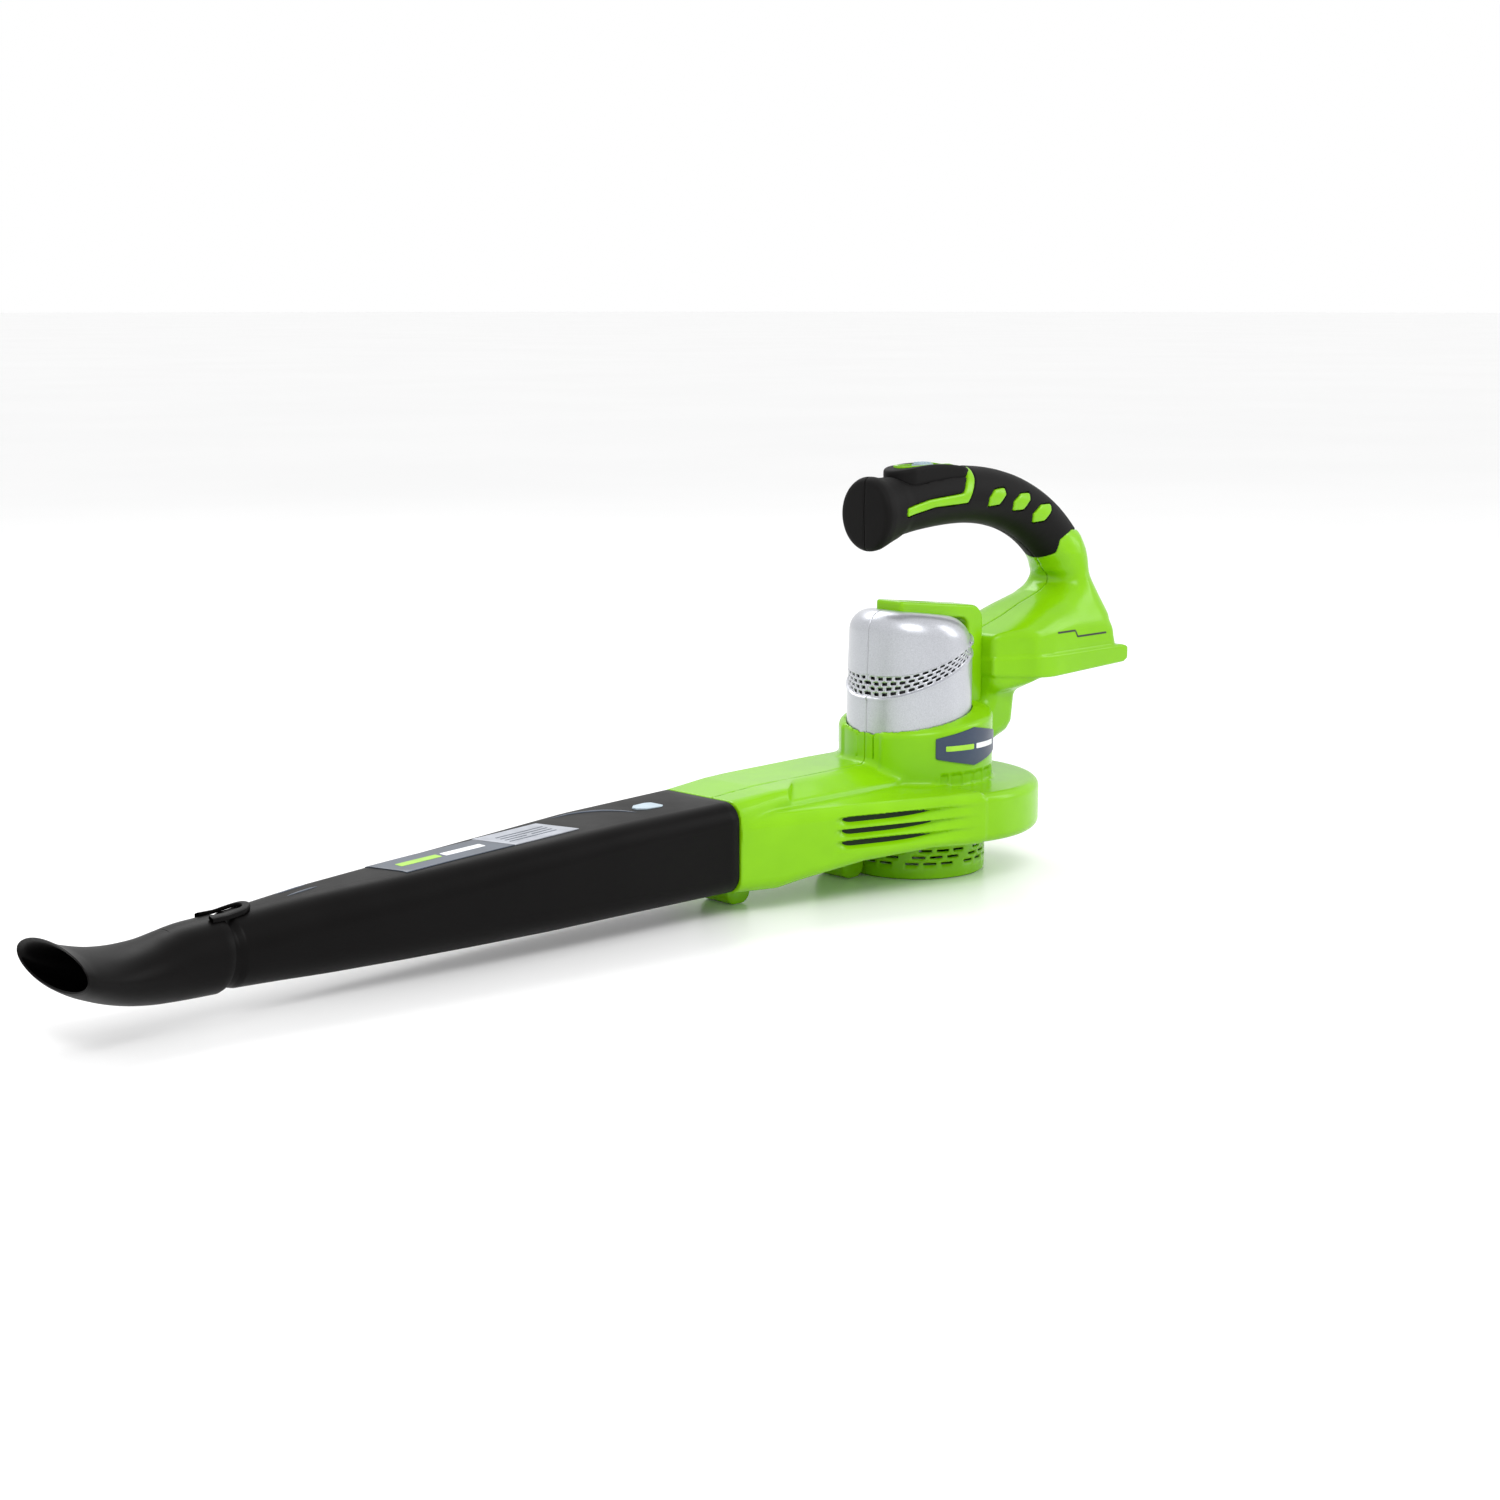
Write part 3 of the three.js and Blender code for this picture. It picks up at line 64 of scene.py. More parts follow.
def finish_of(name, dark, light, patch_mm, rough, rough_swing, grain_mm, grain_depth_mm, coat=0.0, **shader):
    """A finish on Object coordinates: colour drifts between dark and light over patch_mm, roughness swings by
    rough_swing on the same drift, and a noise grain of grain_mm stands grain_depth_mm high as bump."""
    made = bpy.data.materials.new(name)
    made.use_nodes = True
    tree = made.node_tree
    tree.nodes.clear()
    place = add_node(tree, "ShaderNodeTexCoord").outputs["Object"]
    drift = add_node(tree, "ShaderNodeTexNoise", {"Vector": place, "Scale": 1 / (patch_mm * MM), "Detail": 3.0, "Roughness": 0.55})
    spread = add_node(tree, "ShaderNodeMapRange", {"Value": drift.outputs["Fac"], "From Min": 0.35, "From Max": 0.65})
    tint = add_node(tree, "ShaderNodeMix", {0: spread.outputs["Result"], 6: linear(dark), 7: linear(light)}, data_type="RGBA")
    gloss = add_node(tree, "ShaderNodeMapRange", {
        "Value": drift.outputs["Fac"], "From Min": 0.3, "From Max": 0.7, "To Min": rough - rough_swing, "To Max": rough + rough_swing})
    grain = add_node(tree, "ShaderNodeTexNoise", {"Vector": place, "Scale": 1 / (grain_mm * MM), "Detail": 2.0})
    bump = add_node(tree, "ShaderNodeBump", {"Height": grain.outputs["Fac"], "Strength": 1.0, "Distance": grain_depth_mm * MM})
    sockets = {"Base Color": tint.outputs[2], "Roughness": gloss.outputs["Result"], "Normal": bump.outputs["Normal"]}
    if coat:
        sockets["Coat Weight"] = coat
        sockets["Coat Roughness"] = 0.06
    sockets.update(shader)
    surface = add_node(tree, "ShaderNodeBsdfPrincipled", sockets)
    add_node(tree, "ShaderNodeOutputMaterial", {"Surface": surface.outputs["BSDF"]})
    return made


# Gloss ABS from a polished mould: a clear lime with sharp highlights and the faint ripple of the melt.
lime_abs = finish_of("lime_abs_polished_mould", "#77B404", "#7FBE06", 60, 0.24, 0.03, 14, 0.05, IOR=1.53, **{"Specular IOR Level": 0.22})
# Polypropylene from a spark-eroded mould: near black, satin, its grain drawn at 0.9 mm so that it shows.
tube_pp = finish_of("black_polypropylene_satin", "#060505", "#090808", 45, 0.42, 0.05, 0.9, 0.02, IOR=1.49, **{"Specular IOR Level": 0.08})
# Soft thermoplastic rubber over the handle: dull charcoal that scatters light, with a fine pebble grain.
grip_rubber = finish_of("charcoal_tpe_soft_touch", "#0A0909", "#100F0F", 30, 0.60, 0.06, 1.1, 0.05, IOR=1.50, **{"Specular IOR Level": 0.11})
# Metallic paint on moulded ABS: bright silver with a soft broad highlight, aluminium flake drawn at 0.7 mm.
silver_paint = finish_of("silver_metallic_paint", "#AEB0B6", "#BEC0C6", 0.7, 0.34, 0.04, 8, 0.03, coat=0.25, Metallic=0.72)
# Vinyl badge and sticker films: screen printed, smooth, with a slight sheen. The slate film also colours the tube's
# beads, where it is a painted highlight.
navy_vinyl = finish_of("navy_vinyl_film", "#1E2F49", "#24364F", 20, 0.33, 0.03, 3, 0.01, IOR=1.52)
slate_vinyl = finish_of("slate_vinyl_film", "#39424F", "#434D5C", 20, 0.38, 0.03, 3, 0.01, IOR=1.52)
grey_vinyl = finish_of("pale_grey_vinyl_film", "#8F939C", "#A3A7B0", 12, 0.38, 0.03, 3, 0.01, IOR=1.52)
white_ink = finish_of("white_screen_ink", "#DCDFE2", "#E8EAEC", 10, 0.40, 0.03, 2, 0.01, IOR=1.50)
lime_ink = finish_of("lime_screen_ink", "#8FC22A", "#9CCF33", 10, 0.40, 0.03, 2, 0.01, IOR=1.50)
black_ink = finish_of("black_pad_print_ink", "#11150F", "#1A1F16", 10, 0.42, 0.03, 2, 0.01, IOR=1.50)
# Acetal buttons: pale grey blue, slightly waxy.
acetal = finish_of("pale_blue_acetal", "#A5B7C3", "#B4C5D0", 15, 0.36, 0.04, 1.5, 0.01, IOR=1.48)
# Glass filled nylon for the inner parts: black, dull, with fibre streaks at 1.5 mm.
nylon = finish_of("black_glass_nylon", "#121212", "#1E1E1E", 4, 0.52, 0.06, 1.5, 0.03, IOR=1.53)
# Painted shade: a dull dark green sheet set behind the flank louvres, darkening their deep grooves where shade falls.
louvre_shade_nylon = finish_of("dark_green_painted_louvre_shade", "#0E1C06", "#15280A", 6, 0.60, 0.05, 1.5, 0.03, IOR=1.53, **{"Specular IOR Level": 0.2})
# Zinc plated steel: bluish grey with the uneven lustre of a plating bath.
zinc_steel = finish_of("zinc_plated_steel", "#8E9196", "#A7AAAE", 5, 0.32, 0.08, 1.0, 0.01, Metallic=1.0)
# Enamelled copper and brass contacts: warm, darker in the hollows.
copper_wire = finish_of("drawn_copper", "#9A5A2E", "#B9703A", 3, 0.30, 0.06, 1.0, 0.02, Metallic=1.0)
# Sintered ferrite: dark grey ceramic with a sandy texture.
ferrite = finish_of("sintered_ferrite", "#2A2A2C", "#38383B", 3, 0.66, 0.08, 0.8, 0.04, IOR=1.80)
# Glass epoxy circuit board under green solder mask.
board = finish_of("green_solder_mask", "#174A2A", "#206037", 5, 0.36, 0.05, 1.2, 0.01, IOR=1.54)
# PVC wire insulation: slightly glossy, single colours.
red_pvc = finish_of("red_pvc_insulation", "#9E1B1B", "#B52222", 10, 0.42, 0.04, 1.5, 0.01, IOR=1.54)
black_pvc = finish_of("black_pvc_insulation", "#101010", "#181818", 10, 0.42, 0.04, 1.5, 0.01, IOR=1.54)

by_slot = {
    "green_housing": lime_abs, "black_tube": tube_pp, "soft_grip": grip_rubber, "silver_cover": silver_paint,
    "navy_badge": navy_vinyl, "light_print": grey_vinyl, "dark_print": slate_vinyl, "pale_blue": acetal,
    "black_plastic": nylon, "steel": zinc_steel, "copper": copper_wire, "ferrite": ferrite,
    "circuit_board": board, "red_wire": red_pvc, "black_wire": black_pvc,
}
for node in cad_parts.values():
    for place in node.material_slots:
        named = [finish for slot, finish in by_slot.items() if place.material and slot in place.material.name]
        if named:
            place.material = named[0]


# ---------------------------------------------------------------- making meshes
def make_piece(name, points, faces, finish, body, stands_for=(), crease=50, wall=0.0, ease=0.0):
    """Puts points (mm) and faces into a mesh, turns its faces outward by the sign of its volume about its middle,
    shades it smooth with edges sharper than crease degrees kept, and lets it ride on a body."""
    points = np.asarray(points, float)
    faces = [np.asarray(group, int) for group in (faces if isinstance(faces, list) else [faces])]
    middle = points.mean(0)
    volume = 0.0
    for group in faces:
        a, b, c = (points[group[:, i]] - middle for i in (0, 1, 2))
        volume += np.einsum("ij,ij->i", a, np.cross(b, c)).sum()
        if group.shape[1] == 4:
            a, b, c = (points[group[:, i]] - middle for i in (0, 2, 3))
            volume += np.einsum("ij,ij->i", a, np.cross(b, c)).sum()
    if volume < 0:
        faces = [group[:, ::-1] for group in faces]
    mesh = bpy.data.meshes.new(name)
    mesh.vertices.add(len(points))
    mesh.vertices.foreach_set("co", (points * MM).astype(np.float32).ravel())
    corners = np.concatenate([group.ravel() for group in faces])
    sizes = np.concatenate([np.full(len(group), group.shape[1]) for group in faces])
    mesh.loops.add(len(corners))
    mesh.loops.foreach_set("vertex_index", corners.astype(np.int32))
    mesh.polygons.add(len(sizes))
    mesh.polygons.foreach_set("loop_start", (np.cumsum(sizes) - sizes).astype(np.int32))
    mesh.update(calc_edges=True)
    mesh.validate()
    mesh.shade_smooth()
    mesh.set_sharp_from_angle(angle=math.radians(crease))
    mesh.materials.append(finish)
    piece = bpy.data.objects.new(name, mesh)
    bpy.context.scene.collection.objects.link(piece)
    if wall:
        shell = piece.modifiers.new("wall", "SOLIDIFY")
        shell.thickness = wall * MM
        shell.offset = -1
    if ease:
        soft = piece.modifiers.new("eased_edges", "BEVEL")
        soft.width = ease * MM
        soft.segments = 2
        soft.limit_method = "ANGLE"
        soft.angle_limit = math.radians(40)
    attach(piece, body)
    if stands_for:
        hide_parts(*stands_for)
    return piece


def grid_faces(rows, columns, closed, keep=None):
    """Quads of a grid of points, row after row; closed joins the last column to the first. keep leaves cells out."""
    row, column = np.meshgrid(np.arange(rows - 1), np.arange(columns if closed else columns - 1), indexing="ij")
    after = (column + 1) % columns
    quads = np.stack([row * columns + column, row * columns + after, (row + 1) * columns + after, (row + 1) * columns + column], -1)
    return quads[keep] if keep is not None else quads.reshape(-1, 4)


def filleted(outline, radius, steps=5):
    """Each corner of an outline becomes a parabola arc that leaves its edges radius * tan(turn / 2) from the corner."""
    points = np.array(outline, float)
    before = np.roll(points, 1, 0) - points
    after = np.roll(points, -1, 0) - points
    long_before = np.linalg.norm(before, axis=1)
    long_after = np.linalg.norm(after, axis=1)
    cosine = np.clip((before * after).sum(1) / (long_before * long_after), -1, 1)
    reach = radius / np.tan(np.maximum(np.arccos(cosine), 0.05) / 2)
    reach = np.minimum(reach, 0.48 * np.minimum(long_before, long_after))
    start = points + before * (reach / long_before)[:, None]
    end = points + after * (reach / long_after)[:, None]
    t = np.linspace(0, 1, steps)[None, :, None]
    arcs = (1 - t) ** 2 * start[:, None] + 2 * t * (1 - t) * points[:, None] + t ** 2 * end[:, None]
    return arcs.reshape(-1, 2)


def ramp(t):
    """3t² - 2t³ between 0 and 1."""
    t = np.clip(t, 0, 1)
    return t * t * (3 - 2 * t)


def curve_through(knots, count):
    """Points evenly spread by knot number along a Catmull-Rom curve through the knots."""
    knots = np.array(knots, float)
    ends = np.vstack([2 * knots[0] - knots[1], knots, 2 * knots[-1] - knots[-2]])
    at = np.linspace(0, len(knots) - 1, count)
    i = np.minimum(at.astype(int), len(knots) - 2)
    t = (at - i)[:, None]
    a, b, c, d = ends[i], ends[i + 1], ends[i + 2], ends[i + 3]
    return 0.5 * (2 * b + (c - a) * t + (2 * a - 5 * b + 4 * c - d) * t ** 2 + (3 * b - a - 3 * c + d) * t ** 3)


# ---------------------------------------------------------------- moulded forms as distance fields
def smooth_min(a, b, k):
    """The lesser of two fields, with a fillet: minus h²k/4 where h = max(k - |a - b|, 0) / k."""
    h = np.maximum(k - np.abs(a - b), 0) / k
    return np.minimum(a, b) - h * h * k / 4


def smooth_max(a, b, k):
    return -smooth_min(-a, -b, k)


def outline_field(u, v, outline):
    """Distance to a closed outline, less than zero inside: nearest edge by clamped projection, inside by crossings."""
    points = np.array(outline, float)
    nearest = np.full(u.shape, 1e9)
    inside = np.zeros(u.shape, bool)
    for start, end in zip(points, np.roll(points, -1, axis=0)):
        edge = end - start
        size = edge @ edge
        if size < 1e-9:
            continue
        along = np.clip(((u - start[0]) * edge[0] + (v - start[1]) * edge[1]) / size, 0, 1)
        nearest = np.minimum(nearest, (u - start[0] - along * edge[0]) ** 2 + (v - start[1] - along * edge[1]) ** 2)
        if abs(edge[1]) > 1e-9:
            at = start[0] + (v - start[1]) * edge[0] / edge[1]
            inside ^= ((start[1] > v) != (end[1] > v)) & (u < at)
    return np.where(inside, -1, 1) * np.sqrt(nearest)


def slab_field(u, v, half_u, half_v, corner):
    """Distance to a rectangle of the given half sizes whose corners have the given radius."""
    out_u = np.abs(u) - half_u + corner
    out_v = np.abs(v) - half_v + corner
    return np.hypot(np.maximum(out_u, 0), np.maximum(out_v, 0)) + np.minimum(np.maximum(out_u, out_v), 0) - corner


def disc_field(x, y, z, radius, low, high, corner):
    """Distance to an upright disc with rounded rims."""
    return slab_field(np.hypot(x, y), z - (low + high) / 2, radius, (high - low) / 2, corner)


def path_field(x, y, z, path, radius):
    """Distance to a bar of round section along a path in the seam plane."""
    nearest = np.full(x.shape, 1e9)
    for start, end in zip(path[:-1], path[1:]):
        edge = end - start
        along = np.clip(((x - start[0]) * edge[0] + (z - start[1]) * edge[1]) / (edge @ edge), 0, 1)
        nearest = np.minimum(nearest, (x - start[0] - along * edge[0]) ** 2 + (z - start[1] - along * edge[1]) ** 2)
    return np.sqrt(nearest + y ** 2) - radius


def skin(field, low, high, cell):
    """The zero surface of a field as a surface net: each grid cell the surface crosses holds one point, the mean of
    its edge crossings, then moved three Newton steps onto the surface; each crossed grid edge makes one quad."""
    axes = [np.arange(a, b + cell, cell) for a, b in zip(low, high)]
    shape = tuple(len(axis) for axis in axes)
    step = 4
    coarse = [axis[::step] for axis in axes]
    rough = field(*(part.ravel() for part in np.meshgrid(*coarse, indexing="ij"))).reshape([len(c) for c in coarse])
    pick = [np.minimum((np.arange(n) + step // 2) // step, len(c) - 1) for n, c in zip(shape, coarse)]
    values = rough[np.ix_(*pick)]
    close = np.nonzero(np.abs(values) < 6.5 * cell)
    values[close] = field(*(axis[i] for axis, i in zip(axes, close)))
    inside = values < 0
    counts = np.zeros(tuple(n - 1 for n in shape), np.int8)
    corners = [(i, j, k) for i in (0, 1) for j in (0, 1) for k in (0, 1)]
    for i, j, k in corners:
        counts += inside[i:shape[0] - 1 + i, j:shape[1] - 1 + j, k:shape[2] - 1 + k]
    cells = np.nonzero((counts > 0) & (counts < 8))
    number = np.full(counts.shape, -1, np.int64)
    number[cells] = np.arange(len(cells[0]))
    total = np.zeros((len(cells[0]), 3))
    hits = np.zeros(len(cells[0]))
    for a in corners:
        for axis in range(3):
            if a[axis]:
                continue
            b = tuple(v + (n == axis) for n, v in enumerate(a))
            va = values[tuple(c + o for c, o in zip(cells, a))]
            vb = values[tuple(c + o for c, o in zip(cells, b))]
            crossed = (va < 0) != (vb < 0)
            t = np.where(crossed, va / np.where(crossed, va - vb, 1), 0)
            for n in range(3):
                total[:, n] += np.where(crossed, a[n] + (t if n == axis else 0), 0)
            hits += crossed
    points = np.stack([axes[n][0] + (cells[n] + total[:, n] / hits) * cell for n in range(3)], -1)
    quads = []
    for axis in range(3):
        first, second = [n for n in range(3) if n != axis]
        span = [slice(1, -1)] * 3
        span[axis] = slice(0, -1)
        here = inside[tuple(span)]
        after = list(span)
        after[axis] = slice(1, None)
        there = inside[tuple(after)]
        at = np.array(np.nonzero(here != there))
        at[first] += 1
        at[second] += 1
        turn = here[tuple(at - np.array([[int(n != axis)] for n in range(3)]))]
        around = []
        for da, db in ((1, 1), (0, 1), (0, 0), (1, 0)):
            spot = at.copy()
            spot[first] -= da
            spot[second] -= db
            around.append(number[tuple(spot)])
        quad = np.stack(around, -1)
        flip = turn if axis == 1 else ~turn
        quad[flip] = quad[flip][:, ::-1]
        quads.append(quad)
    reach = 0.25
    for _ in range(3):
        x, y, z = points.T
        here = field(x, y, z)
        slope = np.stack([
            field(x + reach, y, z) - field(x - reach, y, z),
            field(x, y + reach, z) - field(x, y - reach, z),
            field(x, y, z + reach) - field(x, y, z - reach)], -1) / (2 * reach)
        steep = np.maximum((slope ** 2).sum(1), 0.2)
        points = points + np.clip(-(here / steep)[:, None] * slope, -0.5 * cell, 0.5 * cell)
    return points, np.concatenate(quads)


# ---------------------------------------------------------------- housing
SEAM = 0.15
COLLAR_R = 53.5
COVER_X, COVER_R = -7.0, 43.0
SCROLL_R = 86.0
SCROLL_LOW, SCROLL_HIGH = 31.0, 64.5
DUCT_X, DUCT_Y = -197.0, 12.0


def flank_touch(start_y, side):
    """Where a straight flank from the duct's corner touches the scroll's circle."""
    angle = math.atan2(start_y, DUCT_X) - side * math.acos(SCROLL_R / math.hypot(DUCT_X, start_y))
    return SCROLL_R * math.cos(angle), SCROLL_R * math.sin(angle)


far_touch, near_touch = flank_touch(DUCT_Y + 40, 1), flank_touch(DUCT_Y - 40, -1)
far_slope = (far_touch[1] - DUCT_Y - 40) / (far_touch[0] - DUCT_X)
near_slope = (near_touch[1] - DUCT_Y + 40) / (near_touch[0] - DUCT_X)

rear_side = filleted([
    (46, 82), (66, 83), (79, 87.5), (85, 94), (87.5, 113), (92, 121), (101, 126), (181, 130), (176, 150), (177.5, 166),
    (173, 182), (168.5, 200), (166, 214), (158, 226), (148, 224), (134, 212), (140, 203), (143, 196), (141.5, 188.5), (131, 182.5),
    (110, 176), (90, 168.5), (70, 162.5), (55.9, 158.5), (55.9, 112), (46, 108)], 7, 5)
rear_edge = np.vstack([
    filleted([(0, 76), (20, 76), (20, 117), (40.8, 128), (40.8, 145), (0, 200)], 6, 5)[5:-10],
    curve_through([(40.6, 147), (39.3, 158), (36.3, 168), (31, 180), (25.5, 193), (22, 205), (20.2, 218), (20, 245)], 30)])
rear_front = np.vstack([rear_edge, rear_edge[::-1] * (-1, 1)])
grip_region = [(60, 300), (60, 215), (118, 203.5), (126.6, 206.6), (129.5, 209.8), (132.6, 212), (132.2, 221.4), (138, 224.8), (146.4, 227.8),
               (162, 226.2), (200, 222), (200, 300)]
rear_plan = filleted([
    (40, -21), (57, -22.5), (86, -38), (104, -40.5), (210, -40.5), (210, 40.5), (104, 40.5), (86, 38), (57, 22.5), (40, 21)], 14, 5)
band_side = filleted([(55, 129.6), (70, 128.6), (98, 127), (182, 130.2), (186, 132.5), (186, 141.6), (180, 143.2), (55, 143.2)], 2.5, 4)
grip_path = curve_through([
    (-46, 249), (-24, 253.3), (-5.6, 255.8), (16, 257.5), (32, 258), (47, 257.7), (63.4, 256.1), (78.6, 253.3), (96.3, 248.2),
    (115.5, 239.6), (132.7, 228.4), (147.5, 214.5), (153, 205)], 40)
root_path = grip_path[27:]


def throat_field(x, y, z, low_knots, high, corner_knots):
    """The duct as it opens into the scroll: at each x a rounded rectangle between the two flanks."""
    far = DUCT_Y + 40 + far_slope * (x - DUCT_X)
    near = DUCT_Y - 40 + near_slope * (x - DUCT_X)
    low = np.interp(x, *low_knots)
    corner = np.interp(x, *corner_knots)
    body = slab_field(y - (far + near) / 2, z - (high + low) / 2, (far - near) / 2, (high - low) / 2, corner)
    return body


def housing_field(x, y, z):
    """The green clamshell, outside less inside: scroll, duct, raised roof, collar, neck, dock and handle root."""
    round_r = np.hypot(x, y)
    turn = np.degrees(np.arctan2(y, x)) % 360
    floor_line = ([-197, -168, -150, -107, -57], [15, 15, 19, 27, 31])
    scroll = disc_field(x, y, z, SCROLL_R, SCROLL_LOW, SCROLL_HIGH, 6)
    low_duct = throat_field(x, y, z, floor_line, SCROLL_HIGH + 1.5 + 0 * x, ([-197, -150, -60], [10, 9, 6]))
    low_duct = smooth_max(low_duct, x + 22, 2)
    # The roof of the duct runs on to the collar; its shoulders fall away to both flanks.
    roof = np.interp(x, [-197, -160, -60], [75, 77.5, 79])
    high_duct = slab_field(y - DUCT_Y, z - (roof + 40) / 2, 40, (roof - 40) / 2, np.interp(x, [-197, -140], [13, 7]))
    high_duct = smooth_max(high_duct, DUCT_X - x, 1)
    turn_in = x + 172 - 1.1 * np.clip(y + 39, 0, 60)
    near_cut = -0.364 * (y + 8) + 0.931 * (z - 77.5) - 15 * (1 - ramp(turn_in / 9))
    high_duct = smooth_max(high_duct, near_cut, 2)
    high_duct = smooth_max(high_duct, x + 30, 2)
    ducts = smooth_max(smooth_min(low_duct, high_duct, 2.5), DUCT_X + 0.4 - x, 0.8)
    # Three louvres in each flank: each is deepest under its upper ridge and fades along its length.
    share = (z - 36.3) / 7.9
    tooth = share - np.floor(share)
    tooth = np.where((share > 0) & (share < 3), np.clip(tooth / 0.72, 0, 1) * np.clip((0.86 - tooth) / 0.14, 0, 1), 0)
    length = ramp((x + 136 - 3 * tooth) / 18) * (1 - ramp((x + 96) / 76))
    flank = np.minimum(y - (DUCT_Y - 40 + near_slope * (x - DUCT_X)), DUCT_Y + 40 + far_slope * (x - DUCT_X) - y)
    louvre = 7.6 * tooth * length * (1 - ramp((flank - 6) / 4))
    low = smooth_min(scroll, ducts, 3) + louvre
    # The collar: a tube with a tilted, rolled lip and a slightly drawn in front.
    inset = 1.5 * ramp((turn - 148) / 4) * (1 - ramp((turn - 194) / 2))
    window = (np.abs((turn % 180) - 90 + 0.0) < 29) & (z > 65) & (z < 73.5) & ((((turn % 180) - 90) % 11.6) > 1.9)
    side = round_r - COLLAR_R + inset + np.where(window, 1.1, 0)
    lip = (z - 106.4 - 0.108 * x - 0.45 * (COLLAR_R - round_r)) * 0.91
    collar = smooth_max(smooth_max(side, lip, 2.6), 55 - z, 1)
    low = smooth_min(low, collar, np.where(x < -30, 5.0, 2.5))
    # Neck and dock: side, front and plan outlines, with a narrow bevel where the first two meet.
    from_side = outline_field(x, z, rear_side)
    from_front = outline_field(y, z, rear_front)
    bevel = (from_side + from_front + 5.5) * 0.7071
    rear = smooth_max(smooth_max(from_side, from_front, 4 + 15 * ramp((z - 148) / 15)), bevel, 3)
    from_plan = outline_field(x, y, rear_plan)
    rear = smooth_max(rear, from_plan, 4)
    root = smooth_max(path_field(x, y, z, root_path, 19.3), 197 - z, 4)
    rear = smooth_min(rear, root, 9)
    band = smooth_max(outline_field(x, z, band_side), smooth_max(from_plan - 1.1, np.abs(y) - 41.8, 1.5), 1.6)
    rear = smooth_min(rear, band, 0.8)
    rear = smooth_max(rear, -outline_field(x, z, grip_region), 0.8)
    whole = smooth_min(low, rear, 3)
    foot_y = np.abs(y - 14.1) - 13.9
    for middle in (-61.5, -171.5):
        foot = slab_field(x - middle, z - 20, 10.5, 20, 8)
        whole = smooth_min(whole, smooth_max(foot, foot_y, 2), 2)
    # Hollows: cover well, fan room, intake, air path and the dock's slot.
    well = np.minimum(np.maximum(np.hypot(x - COVER_X, y) - 43.7, 66 - z), np.maximum(round_r - 50, np.abs(z - 75) - 9))
    whole = smooth_max(whole, -well, 1.2)
    fan_room = disc_field(x, y, z, 76, 37, 58, 3)
    ways = np.minimum(np.minimum(fan_room, np.maximum(round_r - 36, np.abs(z - 32) - 9)), np.maximum(round_r - 43, np.abs(z - 64) - 6))
    air = smooth_max(throat_field(x, y, z, floor_line, 68 + 0 * x, ([-197, -60], [12, 6])) + 9.8, x + 60, 1)
    whole = smooth_max(whole, -np.minimum(ways, air), 1.2)
    slot = np.maximum(np.maximum(84 - x, np.abs(y) - 32), np.abs(z - 143) - 7)
    mouth = np.maximum(np.maximum(84 - x, np.abs(y) - 27), np.abs(z - 122) - 18)
    return smooth_max(whole, -np.minimum(slot, mouth), 0.8)


CELL = 1.4
for side, name in ((1, "left"), (-1, "right")):
    low = (-198.5, SEAM - 0.5 * CELL, -2) if side > 0 else (-198.5, -88.5, -2)
    high = (188, 88.5, 240) if side > 0 else (188, -SEAM + 0.5 * CELL, 240)
    points, quads = skin(lambda x, y, z: np.maximum(housing_field(x, y, z), SEAM - side * y), low, high, CELL)
    make_piece(f"shell_{name}", points, quads, lime_abs, "housing", [f"housing_{name}"])

# ---------------------------------------------------------------- handle
pad_outlines = [
    [(52.6, 249.7), (52.9, 256), (58.8, 261.2), (69.3, 262), (70.2, 257.2), (63.6, 250.5)],
    [(79.2, 245.3), (79, 251.8), (87.5, 256.9), (97.7, 256.9), (97, 252.1), (89.6, 245.5)],
    [(102.4, 235.4), (101, 242), (109.7, 247.8), (122.7, 247.7), (121.3, 242.9), (113.1, 236.3)],
]
stripe_outline = [
    (-33.5, 247.6), (-4, 252.6), (29.8, 253.6), (34.3, 260.8), (40.4, 270.5), (45.2, 280), (37.2, 280), (36, 273), (30.5, 267),
    (25.5, 260.5), (20.5, 260), (-8.5, 258), (-32.8, 253.4)]
insert_outlines = [filleted(outline, 1.5, 4) for outline in pad_outlines] + [filleted(stripe_outline, 1.6, 4)]
root_outline = [
    (110, 200), (122, 205), (127, 207.6), (129.5, 209.8), (132.6, 212), (132.2, 221.4), (138, 224.8), (146.4, 227.8), (162, 226.2),
    (200, 222), (200, 150), (110, 150)]
pommel_rows = np.array([
    (-60, 249.5, 21.6, 25), (-52, 249.5, 22, 25.5), (-46, 249.6, 21.6, 24.8), (-41, 250, 20.2, 22.8), (-34, 251, 18.8, 20.2), (-24, 253, 18, 19)])


def handle_bar(x, y, z, radius):
    """The handle's round bar, blended into the flat oval pommel at its free end."""
    bar = smooth_max(path_field(x, y, z, grip_path, radius), -50 - x, 2)
    rise, half_w, half_h = (np.interp(x, pommel_rows[:, 0], pommel_rows[:, n]) for n in (1, 2, 3))
    oval = (np.hypot(y / half_w, (z - rise) / half_h) - 1) * half_w
    dome = -54.2 - x + 0.0022 * (y ** 2 + (z - 249.5) ** 2)
    knob = smooth_max(smooth_max(oval, dome, 4.5), x + 30, 6)
    return smooth_min(bar, knob, 7)


def hump_field(x, y, z):
    """The switch hump: a stadium in plan under a gently arched top, sunk where the oval frame sits."""
    reach = np.hypot(np.maximum(np.abs(x - 8) - 23.5, 0), y) - 13.6
    top = z - (281 - 4.4 * ((x - 4) / 38) ** 2)
    hump = smooth_max(smooth_max(reach, top, 2.6), 266 - z, 1)
    sink = np.hypot(np.maximum(np.abs(x - 8) - 16.4, 0), y) - 9.5
    return smooth_max(hump, -np.maximum(sink, 277.6 - z), 0.8)


